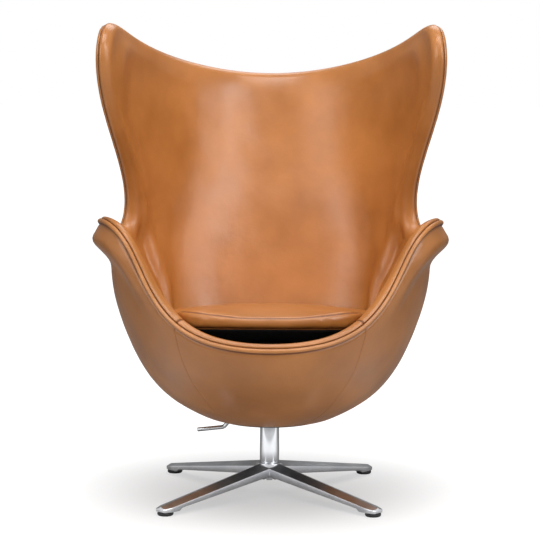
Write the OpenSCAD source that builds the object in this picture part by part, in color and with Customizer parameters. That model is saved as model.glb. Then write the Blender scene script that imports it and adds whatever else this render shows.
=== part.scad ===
// Lounge chair: an egg-shaped upholstered shell with wings and rolled arms, a loose seat
// cushion, a tilting and swivelling mechanism, and a column on a four-pointed star.
// Lengths are millimetres. Z is up, the front faces -Y, and the origin lies on the floor
// in line with the column.

/* [Shell] */
// Width of the egg that the shell is cut from
shell_w = 780; // [720:5:840]
// Depth of the egg from front to back
shell_d = 790; // [720:5:840]
// Height of the egg's profile
shell_h = 924; // [860:4:980]
// Height of the shell's lowest point above the floor
seat_rise = 163; // [155:1:200]
// How far the arms' tops roll outward
ear_flare = 53; // [30:1:60]
// Thickness of the moulded core
core_t = 12; // [8:1:14]
// Thickness of the leather
leather_t = 1.8; // [1.2:0.1:2.2]
// Diameter of the welt round the edge
welt_d = 9.2; // [8:0.2:9.6]

/* [Padding] */
// Thickness of the padded edge
edge_t = 40; // [38:1:46]
// Height of the padded roll above the welt
roll_h = 20; // [18:1:24]
// Extra padding beside the seat
seat_pad = 45; // [30:1:52]
// Height of the seat deck above the shell's lowest point
deck_h = 201.5; // [190:0.5:204]
// Thickness of the deck's lining cloth
lining_t = 1.2; // [0.8:0.1:1.6]

/* [Cushion] */
// Width of the cushion at its front corners
cushion_w = 430; // [400:2:440]
// Depth of the cushion
cushion_l = 432; // [400:2:440]
// Height of the cushion's upright edge band
cushion_edge_h = 26; // [18:1:32]
// Rise of the crown over the top seam
crown_h = 17; // [8:1:24]
// Height of the cushion's top seam above the shell's lowest point
cushion_h = 265; // [262:0.5:285]

/* [Mechanism] */
// Diameter of the tilt axle
axle_d = 12; // [10:0.5:14]
// Length of the tilt housing from side to side
housing_w = 80; // [70:1:100]
// Depth of the tilt housing from front to back
housing_l = 96; // [84:1:120]
// Height of the tilt housing
housing_h = 35; // [32:1:36]
// Thickness of the pressed seat bracket
bracket_t = 4; // [3:0.5:5]
// Thickness of the plate set into the shell
plate_t = 4; // [3:0.5:6]
// Diameter of the plate set into the shell
plate_d = 250; // [236:2:254]
// Diameter of the four bracket bolts
bolt_d = 8; // [6:0.5:8]
// Diameter of the lever's rod
lever_d = 9.5; // [8:0.5:10]

/* [Column] */
// Outer diameter of the column's tube
column_d = 44.5; // [42:0.5:50]
// Wall of the column's tube
column_wall = 3; // [2:0.5:4]
// Diameter of the swivel spindle
spindle_d = 25; // [22:0.5:28]

/* [Star base] */
// Distance from the column's axis to each glide's axis
glide_reach = 325; // [300:5:360]
// Height of the star's hub top above the floor
hub_top_z = 77; // [70:1:84]
// Diameter of the star's hub
hub_d = 62; // [58:1:72]
// Width of a leg at the hub
leg_root_w = 50; // [40:1:56]
// Width of a leg at its tip
leg_tip_w = 38; // [32:1:44]
// Depth of a leg at the hub
leg_root_h = 31; // [26:1:34]
// Depth of a leg at its tip
leg_tip_h = 12; // [10:1:16]
// Wall of the cast legs
leg_wall = 5; // [4:0.5:7]
// Diameter of the glides
glide_d = 36; // [30:1:40]
// Height of the glides
glide_h = 8.5; // [7:0.5:10]

/* [Hidden] */
$fn = 48;

// Gap between soft layers, gap beside hard faces, gap between core and foam, more room by
// the core's edge, running gap of a shaft and overrun of a cut
layer_gap = 0.5;
seat_gap = 0.3;
core_gap = 0.9;
edge_room = 1.1;
run_gap = 0.05;
cut = 1;

// Columns round the shell's ring, and the levels up its outer surface
ring_n = 56;
half_n = ring_n / 2;
level_shares = [0, 0.1, 0.22, 0.38, 0.54, 0.69, 0.81, 0.9, 0.955, 1];
top_level = len(level_shares) - 1;
back_crowding = 0.6;

// Profile of the egg in level slices. Height share, half width, front, back and widest
// place as shares of the shell's sizes, and how square the slice is.
profile_shares = [
    [0,      0.103, -0.105, 0.108,  0,     0],
    [0.0087, 0.251, -0.250, 0.255,  0,     0],
    [0.037,  0.415, -0.440, 0.385,  0,     0],
    [0.0855, 0.610, -0.692, 0.513,  0,     0.005],
    [0.167,  0.777, -0.885, 0.615,  0,     0.01],
    [0.264,  0.877, -0.979, 0.679,  0,     0.01],
    [0.372,  0.944, -1.000, 0.731,  0,     0.01],
    [0.470,  0.933, -0.987, 0.780,  0,     0.015],
    [0.567,  0.895, -0.987, 0.830, -0.026, 0.02],
    [0.675,  0.931, -0.987, 0.885, -0.103, 0.025],
    [0.7835, 0.990, -0.987, 0.930, -0.205, 0.03],
    [0.892,  1.020, -0.987, 0.968, -0.256, 0.03],
    [1.000,  0.995, -0.987, 1.000, -0.256, 0.03],
    [1.108,  0.964, -0.987, 1.030, -0.256, 0.03]];

// The rim from the front's middle to the back's. Angle round the egg and height share of
// the rim, the same for the point that the surface bends through on its way up, the share
// of the outward roll, and the share of the extra padding.
rim_shares = [
    [0,   0.236,  0,   0.1125, 0,    0],
    [12,  0.239,  12,  0.1125, 0,    0],
    [24,  0.251,  24,  0.1125, 0,    0.05],
    [35,  0.280,  35,  0.1125, 0,    0.2],
    [43,  0.329,  44,  0.123,  0,    0.45],
    [49,  0.394,  53,  0.134,  0.07, 0.75],
    [54,  0.464,  62,  0.156,  0.4,  0.95],
    [61,  0.518,  72,  0.1775, 1,    1],
    [78,  0.516,  82,  0.199,  1.04, 1],
    [93,  0.489,  93,  0.221,  0.6,  1],
    [104, 0.4545, 106, 0.264,  0.18, 0.9],
    [111, 0.502,  122, 0.329,  0,    0.8],
    [107, 0.621,  136, 0.4155, 0,    0.7],
    [101, 0.762,  145, 0.524,  0,    0.6],
    [97,  0.8755, 150, 0.610,  0,    0.5],
    [96,  0.951,  152, 0.675,  0,    0.5],
    [102, 0.985,  154, 0.697,  0,    0.5],
    [115, 0.970,  157, 0.697,  0,    0.5],
    [136, 0.894,  163, 0.654,  0,    0.55],
    [158, 0.855,  171, 0.610,  0,    0.6],
    [180, 0.842,  180, 0.589,  0,    0.6]];

// Height share of the opening under the shell, and where the arms' roll starts
opening_share = 0.0184;
flare_start_share = 0.8;
// Angles over the padded roll, and levels down the inner skin, the lining and the deck
roll_angles = [34, 60, 90, 120, 150, 180];
skin_shares = [0.1, 0.25, 0.42, 0.6, 0.8, 1];
lining_shares = [0.01, 0.5, 1];
deck_shares = [0.66, 0.33];
// Share of the inner skin that is leather at the front lip and elsewhere
lip_leather_share = 0.25;
side_leather_share = 0.96;
lip_start_share = 0.14;
lip_end_share = 0.3;
// Fall of the deck and of the cushion towards the back
deck_slope = 0.05;
cushion_slope = 0.07;

// Column numbers of the seams between the outer covers
front_seam_n = 4;
arm_seam_n = 15;

// Heights of the mechanism, from the floor up
column_top_z = seat_rise + leather_t * 2;
washer_t = 2;
housing_z = column_top_z + washer_t;
housing_top_z = housing_z + housing_h;
axle_share = 0.54;
axle_z = housing_z + housing_h * axle_share;
bracket_z = housing_top_z + bracket_t / 2;
plate_z = bracket_z + bracket_t;

// Curve helpers
function unit(v) = v / norm(v);
function ease(x) = let(c = min(max(x, 0), 1)) c * c * (3 - 2 * c);
function weights(f) = [pow(1 - f, 3), 3 * pow(f, 3) - 6 * f * f + 4,
                       3 * (f + f * f - pow(f, 3)) + 1, pow(f, 3)] / 6;
function along(rows, u) =
    let(i = min(max(floor(u), 0), len(rows) - 4), w = weights(min(max(u - i, 0), 1)))
    w[0] * rows[i] + w[1] * rows[i + 1] + w[2] * rows[i + 2] + w[3] * rows[i + 3];
function extended(rows) =
    let(n = len(rows)) concat([2 * rows[0] - rows[1]], rows, [2 * rows[n - 1] - rows[n - 2]]);

// The egg's surface at an angle round it and a slice number
profile_rows = extended(profile_shares);
row_steps = 10;
row_of_height = [for (k = [0:row_steps * (len(profile_shares) - 1)])
    [along(profile_rows, k / row_steps)[0], k / row_steps]];
function slice_at(share) = lookup(share, row_of_height);
function egg(angle, slice) =
    let(r = along(profile_rows, slice),
        middle = (r[2] + r[3]) / 2,
        reach = (r[3] - r[2]) / 2)
    [shell_w / 2 * r[1] * ((1 + r[5]) * sin(angle) + r[5] * sin(3 * angle)),
     shell_d / 2 * (middle - reach * ((1 + r[5]) * cos(angle) - r[5] * cos(3 * angle))
                    + (r[4] - middle) * pow(sin(angle), 2)),
     seat_rise + shell_h * r[0]];

// The rim's row at t, from 0 at the front's middle to 1 at the back's
rim_n = len(rim_shares) - 1;
function mirrored(r, turn) = [turn - r[0], r[1], turn - r[2], r[3], r[4], r[5]];
rim_rows = concat([mirrored(rim_shares[1], 0)], rim_shares, [mirrored(rim_shares[rim_n - 1], 360)]);
function rim(t) = along(rim_rows, t * rim_n);

// Outer surface of the covers: t runs round the rim, v from the opening up to the rim
function outer(t, v) =
    let(r = rim(t), a = pow(1 - v, 2), b = 2 * v * (1 - v), c = v * v,
        angle = a * 180 * t + b * r[2] + c * r[0],
        slice = a * slice_at(opening_share) + b * slice_at(r[3]) + c * slice_at(r[1]),
        flare = ear_flare * r[4] * ease((v - flare_start_share) / (1 - flare_start_share)))
    egg(angle, slice) + flare * [sin(angle), -cos(angle), 0];
step_share = 0.002;
function across(t, v) = outer(min(t + step_share, 1), v) - outer(max(t - step_share, 0), v);
function upward(t, v) = outer(t, min(v + step_share, 1)) - outer(t, max(v - step_share, 0));
function on_middle(t) = t <= 0 || t >= 1;
function normal(t, v) =
    let(n = unit(cross(across(t, v), upward(t, v)))) on_middle(t) ? unit([0, n[1], n[2]]) : n;
function under(t, v, depth) = outer(t, v) - depth * normal(t, v);

// Frame of the rim: its point, the outward normal and the direction that leads on upward
function rim_frame(t) =
    let(n = normal(t, 1), g = on_middle(t) ? [t > 0 ? -1 : 1, 0, 0] : unit(across(t, 1)))
    [outer(t, 1), n, unit(cross(n, g))];
function in_frame(f, depth, rise) = f[0] - depth * f[1] + rise * f[2];
function roll_point(f, inset, angle) =
    in_frame(f, edge_t / 2 - (edge_t / 2 - inset) * cos(angle), (roll_h - inset) * sin(angle));

// Inner skin: the padding is thicker beside the seat than at the edge
function deck_z(y) = seat_rise + deck_h - deck_slope * y;
function pad_depth(t, p) =
    let(top = outer(t, 1)[2])
    edge_t + seat_pad * rim(t)[5] * ease((top - p[2]) / max(top - deck_z(0), edge_t));
function inner(t, v, inset) = let(p = outer(t, v)) p - (pad_depth(t, p) - inset) * normal(t, v);
function deck_level(t, low = 0, high = 1, tries = 10) =
    let(mid = (low + high) / 2, p = inner(t, mid, 0))
    tries == 0 ? mid
    : p[2] > deck_z(p[1]) ? deck_level(t, low, mid, tries - 1) : deck_level(t, mid, high, tries - 1);
function leather_share(t) = lip_leather_share + (side_leather_share - lip_leather_share)
    * ease((t - lip_start_share) / (lip_end_share - lip_start_share));

// Chains of points down one column of the ring
function roll_chain(f, inset, angles) = [for (a = angles) roll_point(f, inset, a)];
function leather_chain(t, inset, deck) =
    let(reach = (1 - deck) * leather_share(t)) [for (s = skin_shares) inner(t, 1 - reach * s, inset)];
function lining_chain(t, inset, deck) =
    let(top = 1 - (1 - deck) * leather_share(t)) [for (s = lining_shares) inner(t, top - (top - deck) * s, inset)];
function deck_chain(t, inset, deck) =
    let(p = inner(t, deck, 0))
    [for (s = deck_shares) [p[0] * s, p[1] * s, deck_z(p[1] * s) - inset]];
function reversed(list) = [for (k = [len(list) - 1:-1:0]) list[k]];

// Levels crowd towards the bottom at the back, where the surface is longest
function level(k, t) = pow(level_shares[k], 1 + back_crowding * ease(t));

// A column of the outer surface's levels at a depth, with its last point dropped or raised
// along the rim's frame and some room under its upper levels
room_share = 0.45;
function level_chain(t, f, depth, rise, room = 0) =
    [for (k = [0:top_level]) k == top_level ? in_frame(f, depth + room, rise)
                                            : under(t, level(k, t), depth + (level_shares[k] > room_share ? room : 0))];
// The part of such a chain above a height
function above(chain, z) =
    let(k = max([for (j = [0:len(chain) - 2]) if (chain[j][2] <= z) j]),
        s = (z - chain[k][2]) / (chain[k + 1][2] - chain[k][2]))
    concat([chain[k] + s * (chain[k + 1] - chain[k])],
           [for (j = [k + 1:len(chain) - 1]) chain[j]]);

// The half ring's columns mirrored to a whole ring
function whole(columns) =
    [for (i = [0:ring_n - 1])
        let(h = i <= half_n ? i : ring_n - i, m = i <= half_n ? 1 : -1)
        [for (p = columns[h]) [m * p[0], p[1], p[2]]]];
function half_ring() = [for (h = [0:half_n]) h / half_n];

// A cell is split along the diagonal that lies further from the shell's middle on the guide
// surface, so that layers under one surface stay parallel and both sides mirror each other.
shell_middle = [0, 0, seat_rise + shell_h / 2];
function quad(g, a, b, c, d) =
    norm((g[a] + g[c]) / 2 - shell_middle) > norm((g[b] + g[d]) / 2 - shell_middle)
    ? [[a, b, c], [a, c, d]] : [[a, b, d], [b, c, d]];
function joined(loops) = [for (l = loops) each l];

// A closed tube whose sections are loops of points, joined end to end
module loop_ring(loops, guides) {
    n = len(loops);
    m = len(loops[0]);
    g = joined(guides);
    polyhedron(points = joined(loops),
        faces = [for (i = [0:n - 1], k = [0:m - 1])
            each quad(g, i * m + k, i * m + (k + 1) % m,
                      (i + 1) % n * m + (k + 1) % m, (i + 1) % n * m + k)]);
}

// A sheet between an outer and an inner chain, with closed ends
module loop_sheet(loops, guides) {
    n = len(loops);
    m = len(loops[0]);
    last = (n - 1) * m;
    points = joined(loops);
    g = joined(guides);
    polyhedron(points = points,
        faces = concat(
            [for (i = [0:n - 2], k = [0:m - 1])
                each quad(g, i * m + k, i * m + (k + 1) % m,
                          (i + 1) * m + (k + 1) % m, (i + 1) * m + k)],
            [for (k = [0:m / 2 - 2]) each quad(points, m - 1 - k, m - 2 - k, k + 1, k)],
            [for (k = [0:m / 2 - 2])
                each quad(points, last + k, last + k + 1, last + m - 2 - k, last + m - 1 - k)]));
}

// A solid of chains that run from a top pole to a bottom pole
module pole_solid(top, chains, bottom, guides) {
    n = len(chains);
    m = len(chains[0]);
    g = concat([top, bottom], joined(guides));
    polyhedron(points = concat([top, bottom], joined(chains)),
        faces = concat(
            [for (i = [0:n - 1]) [0, 2 + (i + 1) % n * m, 2 + i * m]],
            [for (i = [0:n - 1]) [1, 2 + i * m + m - 1, 2 + (i + 1) % n * m + m - 1]],
            [for (i = [0:n - 1], k = [0:m - 2])
                each quad(g, 2 + i * m + k + 1, 2 + i * m + k,
                          2 + (i + 1) % n * m + k, 2 + (i + 1) % n * m + k + 1)]));
}

// Bolts of the seat bracket
bolt_x = 55;
bolt_y = 50;
bolt_gap = 0.25;
head_share = 1.625;
head_h_share = 0.55;
nut_h_share = 0.8;
bolt_head_d = bolt_d * head_share;
bolt_head_h = bolt_d * head_h_share;
nut_h = bolt_d * nut_h_share;

// Depths of the layers under the outer surface
core_depth = leather_t + layer_gap;
core_drop = core_t / 2;
foam_depth = core_depth + core_t + core_gap;
skin_inset = leather_t + layer_gap;
cover_rise = 1;

// Outer covers: leather panels from the opening up to the welt
function cover_columns(depth) = [for (t = half_ring())
    let(f = rim_frame(t))
    concat(level_chain(t, f, 0, -core_drop), [in_frame(f, 0, cover_rise), in_frame(f, depth, cover_rise)],
           reversed(level_chain(t, f, depth, -core_drop)))];
module cover(from, to) {
    ring = whole(cover_columns(leather_t));
    guide = whole(cover_columns(0));
    loop_sheet([for (i = [from:to]) ring[(i + ring_n) % ring_n]],
               [for (i = [from:to]) guide[(i + ring_n) % ring_n]]);
}

module front_cover() { color("#b8763f") cover(-front_seam_n, front_seam_n); }
module right_arm_cover() { color("#b8763f") cover(front_seam_n, arm_seam_n); }
module left_arm_cover() { color("#b8763f") cover(-arm_seam_n, -front_seam_n); }
module back_cover() { color("#b8763f") cover(arm_seam_n, ring_n - arm_seam_n); }

// Moulded core with a rounded edge
core_angles = [45, 90, 135];
function core_columns(near, far) = [for (t = half_ring())
    let(f = rim_frame(t), r = core_t / 2)
    concat(level_chain(t, f, near, -core_drop, edge_room),
           [for (a = core_angles) in_frame(f, core_depth + r - r * cos(a), r * sin(a) - core_drop)],
           reversed(level_chain(t, f, far, -core_drop)))];
module shell_core() {
    color("#d8d2c4") loop_ring(whole(core_columns(core_depth, core_depth + core_t)),
                               whole(core_columns(0, 0)));
}

// Foam between the core and the inner skin, with the seat deck. On the roll it starts at
// the foam's angle, clear of the welt.
foam_angle = 60;
foam_base_z = plate_z + plate_t + nut_h + layer_gap;
function foam_columns(inset, near) = [for (t = half_ring())
    let(f = rim_frame(t), deck = deck_level(t), r = core_t / 2 + core_gap,
        side = above(level_chain(t, f, foam_depth, -core_drop, edge_room), foam_base_z),
        guide = level_chain(t, f, 0, -core_drop), skipped = len(guide) - len(side))
    concat(reversed(deck_chain(t, inset, deck)),
           reversed(lining_chain(t, inset, deck)),
           reversed(leather_chain(t, inset, deck)),
           reversed(roll_chain(f, inset, [for (a = roll_angles) if (a >= foam_angle) a])),
           [for (a = core_angles) if (a >= 90)
               in_frame(f, foam_depth - r - r * cos(a), r * sin(a) - core_drop)],
           column_fill(reversed(near ? side : [for (k = [skipped:len(guide) - 1]) guide[k]]),
                       top_level + 1))];
module shell_foam() {
    color("#e8dcae") pole_solid([0, 0, deck_z(0) - skin_inset], whole(foam_columns(skin_inset, true)),
                                [0, 0, foam_base_z], whole(foam_columns(0, false)));
}
// Pads a chain to a fixed count by repeating fractions of its last stretch
function column_fill(chain, count) =
    let(n = len(chain), extra = count - n, a = chain[n - 2], b = chain[n - 1])
    concat([for (k = [0:n - 2]) chain[k]],
           [for (k = [1:extra]) a + (b - a) * k / (extra + 1)], [b]);

// Inner leather over the roll, the arms and the back
function inner_columns(depth) = [for (t = half_ring())
    let(f = rim_frame(t), deck = deck_level(t))
    concat(roll_chain(f, 0, roll_angles), leather_chain(t, 0, deck),
           reversed(leather_chain(t, depth, deck)), reversed(roll_chain(f, depth, roll_angles)))];
module inner_cover() {
    color("#c98a55") loop_ring(whole(inner_columns(leather_t)), whole(inner_columns(0)));
}

// Welt between the outer covers and the inner leather
welt_angle = 18;
welt_sides = 8;
module edge_welt() {
    loops = whole([for (t = half_ring())
        let(f = rim_frame(t), r = welt_d / 2, inset = leather_t,
            depth = edge_t / 2 - (edge_t / 2 - inset) * cos(welt_angle),
            rise = (roll_h - inset) * sin(welt_angle))
        [for (k = [0:welt_sides - 1])
            let(a = 360 * k / welt_sides) in_frame(f, depth - r * cos(a), rise + r * sin(a))]]);
    color("#a5662f") loop_ring(loops, loops);
}

// Black cloth over the seat deck and the back of the lip
function lining_columns(depth) = [for (t = half_ring())
    let(deck = deck_level(t))
    concat(reversed(deck_chain(t, 0, deck)), reversed(lining_chain(t, 0, deck)),
           lining_chain(t, depth, deck), deck_chain(t, depth, deck))];
module seat_lining() {
    color("#1c1a1a") pole_solid([0, 0, deck_z(0)], whole(lining_columns(lining_t)),
                                [0, 0, deck_z(0) - lining_t], whole(lining_columns(0)));
}

// Reinforced ring that carries the insert plate on the core's floor
mounting_bore_share = 0.2667;
mounting_bore_d = shell_w * mounting_bore_share;
module mounting_ring() {
    loops = whole([for (t = half_ring())
        let(f = rim_frame(t), depth = core_depth + core_t + seat_gap,
            side = level_chain(t, f, depth, -core_drop), foot = side[0],
            mid = above(side, (foot[2] + plate_z) / 2)[0], top = above(side, plate_z)[0],
            bore = mounting_bore_d / 2 * [sin(180 * t), -cos(180 * t)])
        [foot, mid, top, [bore[0], bore[1], plate_z], [bore[0], bore[1], foot[2]]]]);
    color("#8d8f86") loop_ring(loops, loops);
}

// Moulded trim that clips over the covers' edge at the opening
trim_t = 2.5;
trim_lip = 6;
module opening_trim() {
    loops = whole([for (t = half_ring())
        let(p = outer(t, 0), n = normal(t, 0), e = unit(upward(t, 0)), g = seat_gap,
            inside = (core_depth + core_t) * n)
        [p + trim_lip * e + (g + trim_t) * n, p + trim_lip * e + g * n, p - g * e + g * n,
         p - g * e - inside, p - (g + trim_t) * e - inside, p - (g + trim_t) * e + (g + trim_t) * n]]);
    color("#262626") loop_ring(loops, loops);
}

// Rounded block of exact faces, centred in plan
module round_block(w, l, h, r) {
    translate([-w / 2 + r, -l / 2, 0]) cube([w - 2 * r, l, h]);
    translate([-w / 2, -l / 2 + r, 0]) cube([w, l - 2 * r, h]);
    for (x = [-1, 1], y = [-1, 1])
        translate([x * (w / 2 - r), y * (l / 2 - r), 0]) cylinder(r = r, h = h);
}
module ring_z(z, d_out, d_in, h) {
    translate([0, 0, z]) difference() {
        cylinder(d = d_out, h = h);
        translate([0, 0, -cut]) cylinder(d = d_in, h = h + 2 * cut);
    }
}
module rod_x(x, y, z, d, length) {
    translate([x, y, z]) rotate([0, 90, 0]) cylinder(d = d, h = length);
}

// Insert plate, seat bracket and their bolts
module at_bolts() {
    for (x = [-1, 1], y = [-1, 1]) translate([x * bolt_x, y * bolt_y, 0]) children();
}
module insert_plate() {
    color("#9a9da0") difference() {
        translate([0, 0, plate_z]) cylinder(d = plate_d, h = plate_t);
        at_bolts() translate([0, 0, plate_z - cut]) cylinder(d = bolt_d + 2 * bolt_gap, h = plate_t + 2 * cut);
    }
}
bracket_over = 20;
bracket_w = 2 * (bolt_x + bracket_over);
bracket_l = 2 * (bolt_y + bracket_over);
bracket_r = 40;
flange_gap = 4;
flange_l = 46;
flange_r = 15;
module seat_bracket() {
    color("#55585c") difference() {
        union() {
            translate([0, 0, bracket_z]) round_block(bracket_w, bracket_l, bracket_t, bracket_r);
            for (x = [-1, 1])
                translate([x * (housing_w / 2 + flange_gap + bracket_t / 2), 0, 0]) {
                    translate([-bracket_t / 2, -flange_l / 2, axle_z])
                        cube([bracket_t, flange_l, bracket_z - axle_z + bracket_t / 2]);
                    rod_x(-bracket_t / 2, 0, axle_z, 2 * flange_r, bracket_t);
                }
        }
        rod_x(-housing_w, 0, axle_z, axle_d + 2 * run_gap, 2 * housing_w);
        at_bolts() translate([0, 0, bracket_z - cut]) cylinder(d = bolt_d + 2 * bolt_gap, h = bracket_t + 2 * cut);
    }
}
bolt_grip = bracket_t + plate_t;
module bracket_bolts() {
    color("#7c7f83") at_bolts() {
        translate([0, 0, bracket_z - bolt_head_h]) cylinder(d = bolt_head_d, h = bolt_head_h, $fn = 6);
        translate([0, 0, bracket_z - bolt_head_h / 2]) cylinder(d = bolt_d, h = bolt_grip + nut_h + bolt_head_h / 2);
    }
}
module bracket_nuts() {
    color("#7c7f83") at_bolts() translate([0, 0, plate_z + plate_t]) difference() {
        cylinder(d = bolt_head_d, h = nut_h, $fn = 6);
        translate([0, 0, -cut]) cylinder(d = bolt_d + 2 * run_gap, h = nut_h + 2 * cut);
    }
}

// Tilt housing with the bores of the spindle, the axle's rubber bushes and the lever
housing_r = 6;
bush_d = 24;
bush_l = 26;
bush_gap = 0.1;
spindle_share = 0.3;
spindle_seat = housing_h * spindle_share;
lever_y = -34;
lever_bush_wall = 2.5;
lever_bush_d = lever_d + 2 * lever_bush_wall;
lever_bush_l = 12;
lever_depth = 22;
tilt_max = 12;
slope_start = 5;
module tilted() {
    translate([0, 0, axle_z]) rotate([-tilt_max, 0, 0]) translate([0, 0, -axle_z]) children();
}
module tilt_housing() {
    color("#3b3d40") difference() {
        translate([0, 0, housing_z]) round_block(housing_w, housing_l, housing_h, housing_r);
        tilted() translate([-housing_w, -slope_start, housing_top_z]) cube([2 * housing_w, housing_l, housing_h]);
        translate([0, 0, housing_z - cut]) cylinder(d = spindle_d + 2 * run_gap, h = spindle_seat + cut);
        rod_x(-housing_w, 0, axle_z, axle_d + 2 * run_gap, 2 * housing_w);
        for (x = [-1, 1])
            rod_x(x * (housing_w / 2 - bush_l / 2 + cut / 2) - (bush_l + cut) / 2, 0, axle_z, bush_d, bush_l + cut);
        rod_x(-housing_w / 2 - cut, lever_y, axle_z, lever_bush_d, lever_bush_l + cut);
        rod_x(-housing_w / 2 - cut, lever_y, axle_z, lever_d + 2 * run_gap, lever_depth + cut);
    }
}
module torsion_bushes() {
    color("#1d1d1d") for (x = [-1, 1])
        difference() {
            rod_x(x * (housing_w - bush_l) / 2 - bush_l / 2, 0, axle_z, bush_d - 2 * bush_gap, bush_l);
            rod_x(-housing_w, 0, axle_z, axle_d + 2 * run_gap, 2 * housing_w);
        }
}
clip_t = 1.5;
clip_share = 1.6;
clip_d = axle_d * clip_share;
axle_end = 5;
axle_l = housing_w + 2 * (flange_gap + bracket_t + axle_end);
module tilt_axle() {
    color("#c9ccd0") rod_x(-axle_l / 2, 0, axle_z, axle_d, axle_l);
}
module axle_clips() {
    color("#8f9296") for (x = [-1, 1])
        difference() {
            rod_x(x * (axle_l / 2 - axle_end / 2) - clip_t / 2, 0, axle_z, clip_d, clip_t);
            rod_x(-axle_l, 0, axle_z, axle_d + 2 * run_gap, 2 * axle_l);
        }
}

// Rubber stops: the front pair carries the bracket at rest, the rear pair ends the tilt
stop_d = 14;
stop_y = 38;
module stop_pair(y) {
    for (x = [-1, 1]) translate([x * housing_w / 4, y, housing_top_z])
        cylinder(d = stop_d, h = bracket_z - housing_top_z - seat_gap);
}
module tilt_stops() {
    color("#202020") {
        stop_pair(-stop_y);
        tilted() stop_pair(stop_y);
    }
}

// Lock lever: a bent rod that leaves the housing and drops to a level grip. Its path holds
// the distance outward, the drop, the heading below level and the radius.
lever_reach_share = 0.1;
lever_reach = shell_w * lever_reach_share;
lever_bend_angle = 49;
lever_unbend_angle = 43;
lever_bend_r = 12;
lever_drop_l = 23.5;
lever_grip_l = 55;
lever_tip = 1.5;
lever_start = housing_w / 2 - lever_depth;
lever_joint = 5;
lever_sides = 16;
lever_r_share = 0.49;
lever_r = lever_d * lever_r_share;
bend_shares = [0.25, 0.5, 0.75, 1];
function straight(p, length) = [p[0] + length * cos(p[2]), p[1] + length * sin(p[2]), p[2], p[3]];
function down_bend(p, angle) =
    [p[0] + lever_bend_r * (sin(p[2] + angle) - sin(p[2])),
     p[1] + lever_bend_r * (cos(p[2]) - cos(p[2] + angle)), p[2] + angle, p[3]];
function up_bend(p, angle) =
    [p[0] + lever_bend_r * (sin(p[2]) - sin(p[2] - angle)),
     p[1] + lever_bend_r * (cos(p[2] - angle) - cos(p[2])), p[2] - angle, p[3]];
bend_start = [lever_reach, 0, 0, lever_r];
drop_start = down_bend(bend_start, lever_bend_angle);
drop_end = straight(drop_start, lever_drop_l);
grip_start = up_bend(drop_end, lever_unbend_angle);
grip_end = straight(grip_start, lever_grip_l);
tip_end = straight(grip_end, lever_tip);
lever_path = concat([[lever_start + lever_joint, 0, 0, lever_r], bend_start],
    [for (s = bend_shares) down_bend(bend_start, lever_bend_angle * s)], [drop_end],
    [for (s = bend_shares) up_bend(drop_end, lever_unbend_angle * s)],
    [grip_end, [tip_end[0], tip_end[1], tip_end[2], lever_r - lever_tip]]);
module lock_lever() {
    color("#a9acb0") {
        rod_x(-housing_w / 2 - cut, lever_y, axle_z, lever_d, lever_depth + cut);
        prism_strip([for (p = lever_path)
            [for (j = [0:lever_sides - 1])
                let(a = 360 * j / lever_sides)
                [-p[0] + p[3] * cos(a) * sin(p[2]), lever_y + p[3] * sin(a), axle_z - p[1] - p[3] * cos(a) * cos(p[2])]]]);
    }
}
module lever_bush() {
    color("#e6e2d6") difference() {
        rod_x(-housing_w / 2, lever_y, axle_z, lever_bush_d - 2 * run_gap, lever_bush_l);
        rod_x(-housing_w, lever_y, axle_z, lever_d + 2 * run_gap, housing_w);
    }
}

// Column: tube, its bushes, the spindle that turns in them, its washer and its circlip
column_in_d = column_d - 2 * column_wall;
column_foot_z = hub_top_z - leg_root_h;
bush_h = 22;
spindle_top_z = housing_z + spindle_seat - seat_gap;
spindle_foot_z = column_foot_z + bush_h / 2;
spindle_end = 6;
lower_bush_z = spindle_foot_z + spindle_end;
module column_tube() {
    color("#dfe2e5") ring_z(column_foot_z, column_d, column_in_d, column_top_z - column_foot_z);
}
module column_upper_bush() {
    color("#e6e2d6") ring_z(column_top_z - bush_h, column_in_d - 2 * run_gap, spindle_d + 2 * run_gap, bush_h);
}
module column_lower_bush() {
    color("#e6e2d6") ring_z(lower_bush_z, column_in_d - 2 * run_gap, spindle_d + 2 * run_gap, bush_h);
}
groove_depth = 1;
circlip_t = 1.4;
module swivel_spindle() {
    color("#b9bcc0") difference() {
        translate([0, 0, spindle_foot_z]) cylinder(d = spindle_d, h = spindle_top_z - spindle_foot_z);
        ring_z(lower_bush_z - 2 * circlip_t, spindle_d + 2 * cut, spindle_d - 2 * groove_depth, circlip_t + run_gap);
    }
}
module spindle_circlip() {
    color("#8f9296") ring_z(lower_bush_z - 2 * circlip_t + run_gap / 2, spindle_d + 4 * groove_depth,
                            spindle_d - 2 * groove_depth + 2 * run_gap, circlip_t);
}
module thrust_washer() {
    color("#d8cfae") ring_z(column_top_z, column_d, spindle_d + 2 * run_gap, washer_t);
}

// Star: four cast legs with a ridge, hollow beneath, on a turned hub. A leg's section is
// given at shares of its length, and its underside comes down to the glide at the tip.
tip_over = 17;
leg_root_share = 0.05;
leg_r_shares = [0.05, 0.86, 0.885, 0.94, 1];
hollow_r_shares = [0.12, 0.4, 0.85];
tip_narrow_share = 0.72;
pad_start_share = 0.88;
tip_top_z = glide_h + leg_tip_h;
leg_shoulder_share = 0.38;
leg_length = glide_reach + tip_over;
function leg_w(s) = leg_root_w + (leg_tip_w - leg_root_w) * s;
function leg_top(s) = hub_top_z + (tip_top_z - hub_top_z) * (s - leg_root_share) / (1 - leg_root_share);
function leg_depth(s) = leg_root_h + (leg_tip_h - leg_root_h) * s;
function leg_section(s) =
    let(w = leg_w(s) / 2 * (s == 1 ? tip_narrow_share : 1), z = leg_top(s), h = leg_depth(s),
        x = leg_length * s, shoulder = z - h * leg_shoulder_share, foot = s > pad_start_share ? glide_h : z - h)
    [[x, 0, z], [x, w, shoulder], [x, w, foot], [x, -w, foot], [x, -w, shoulder]];
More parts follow.
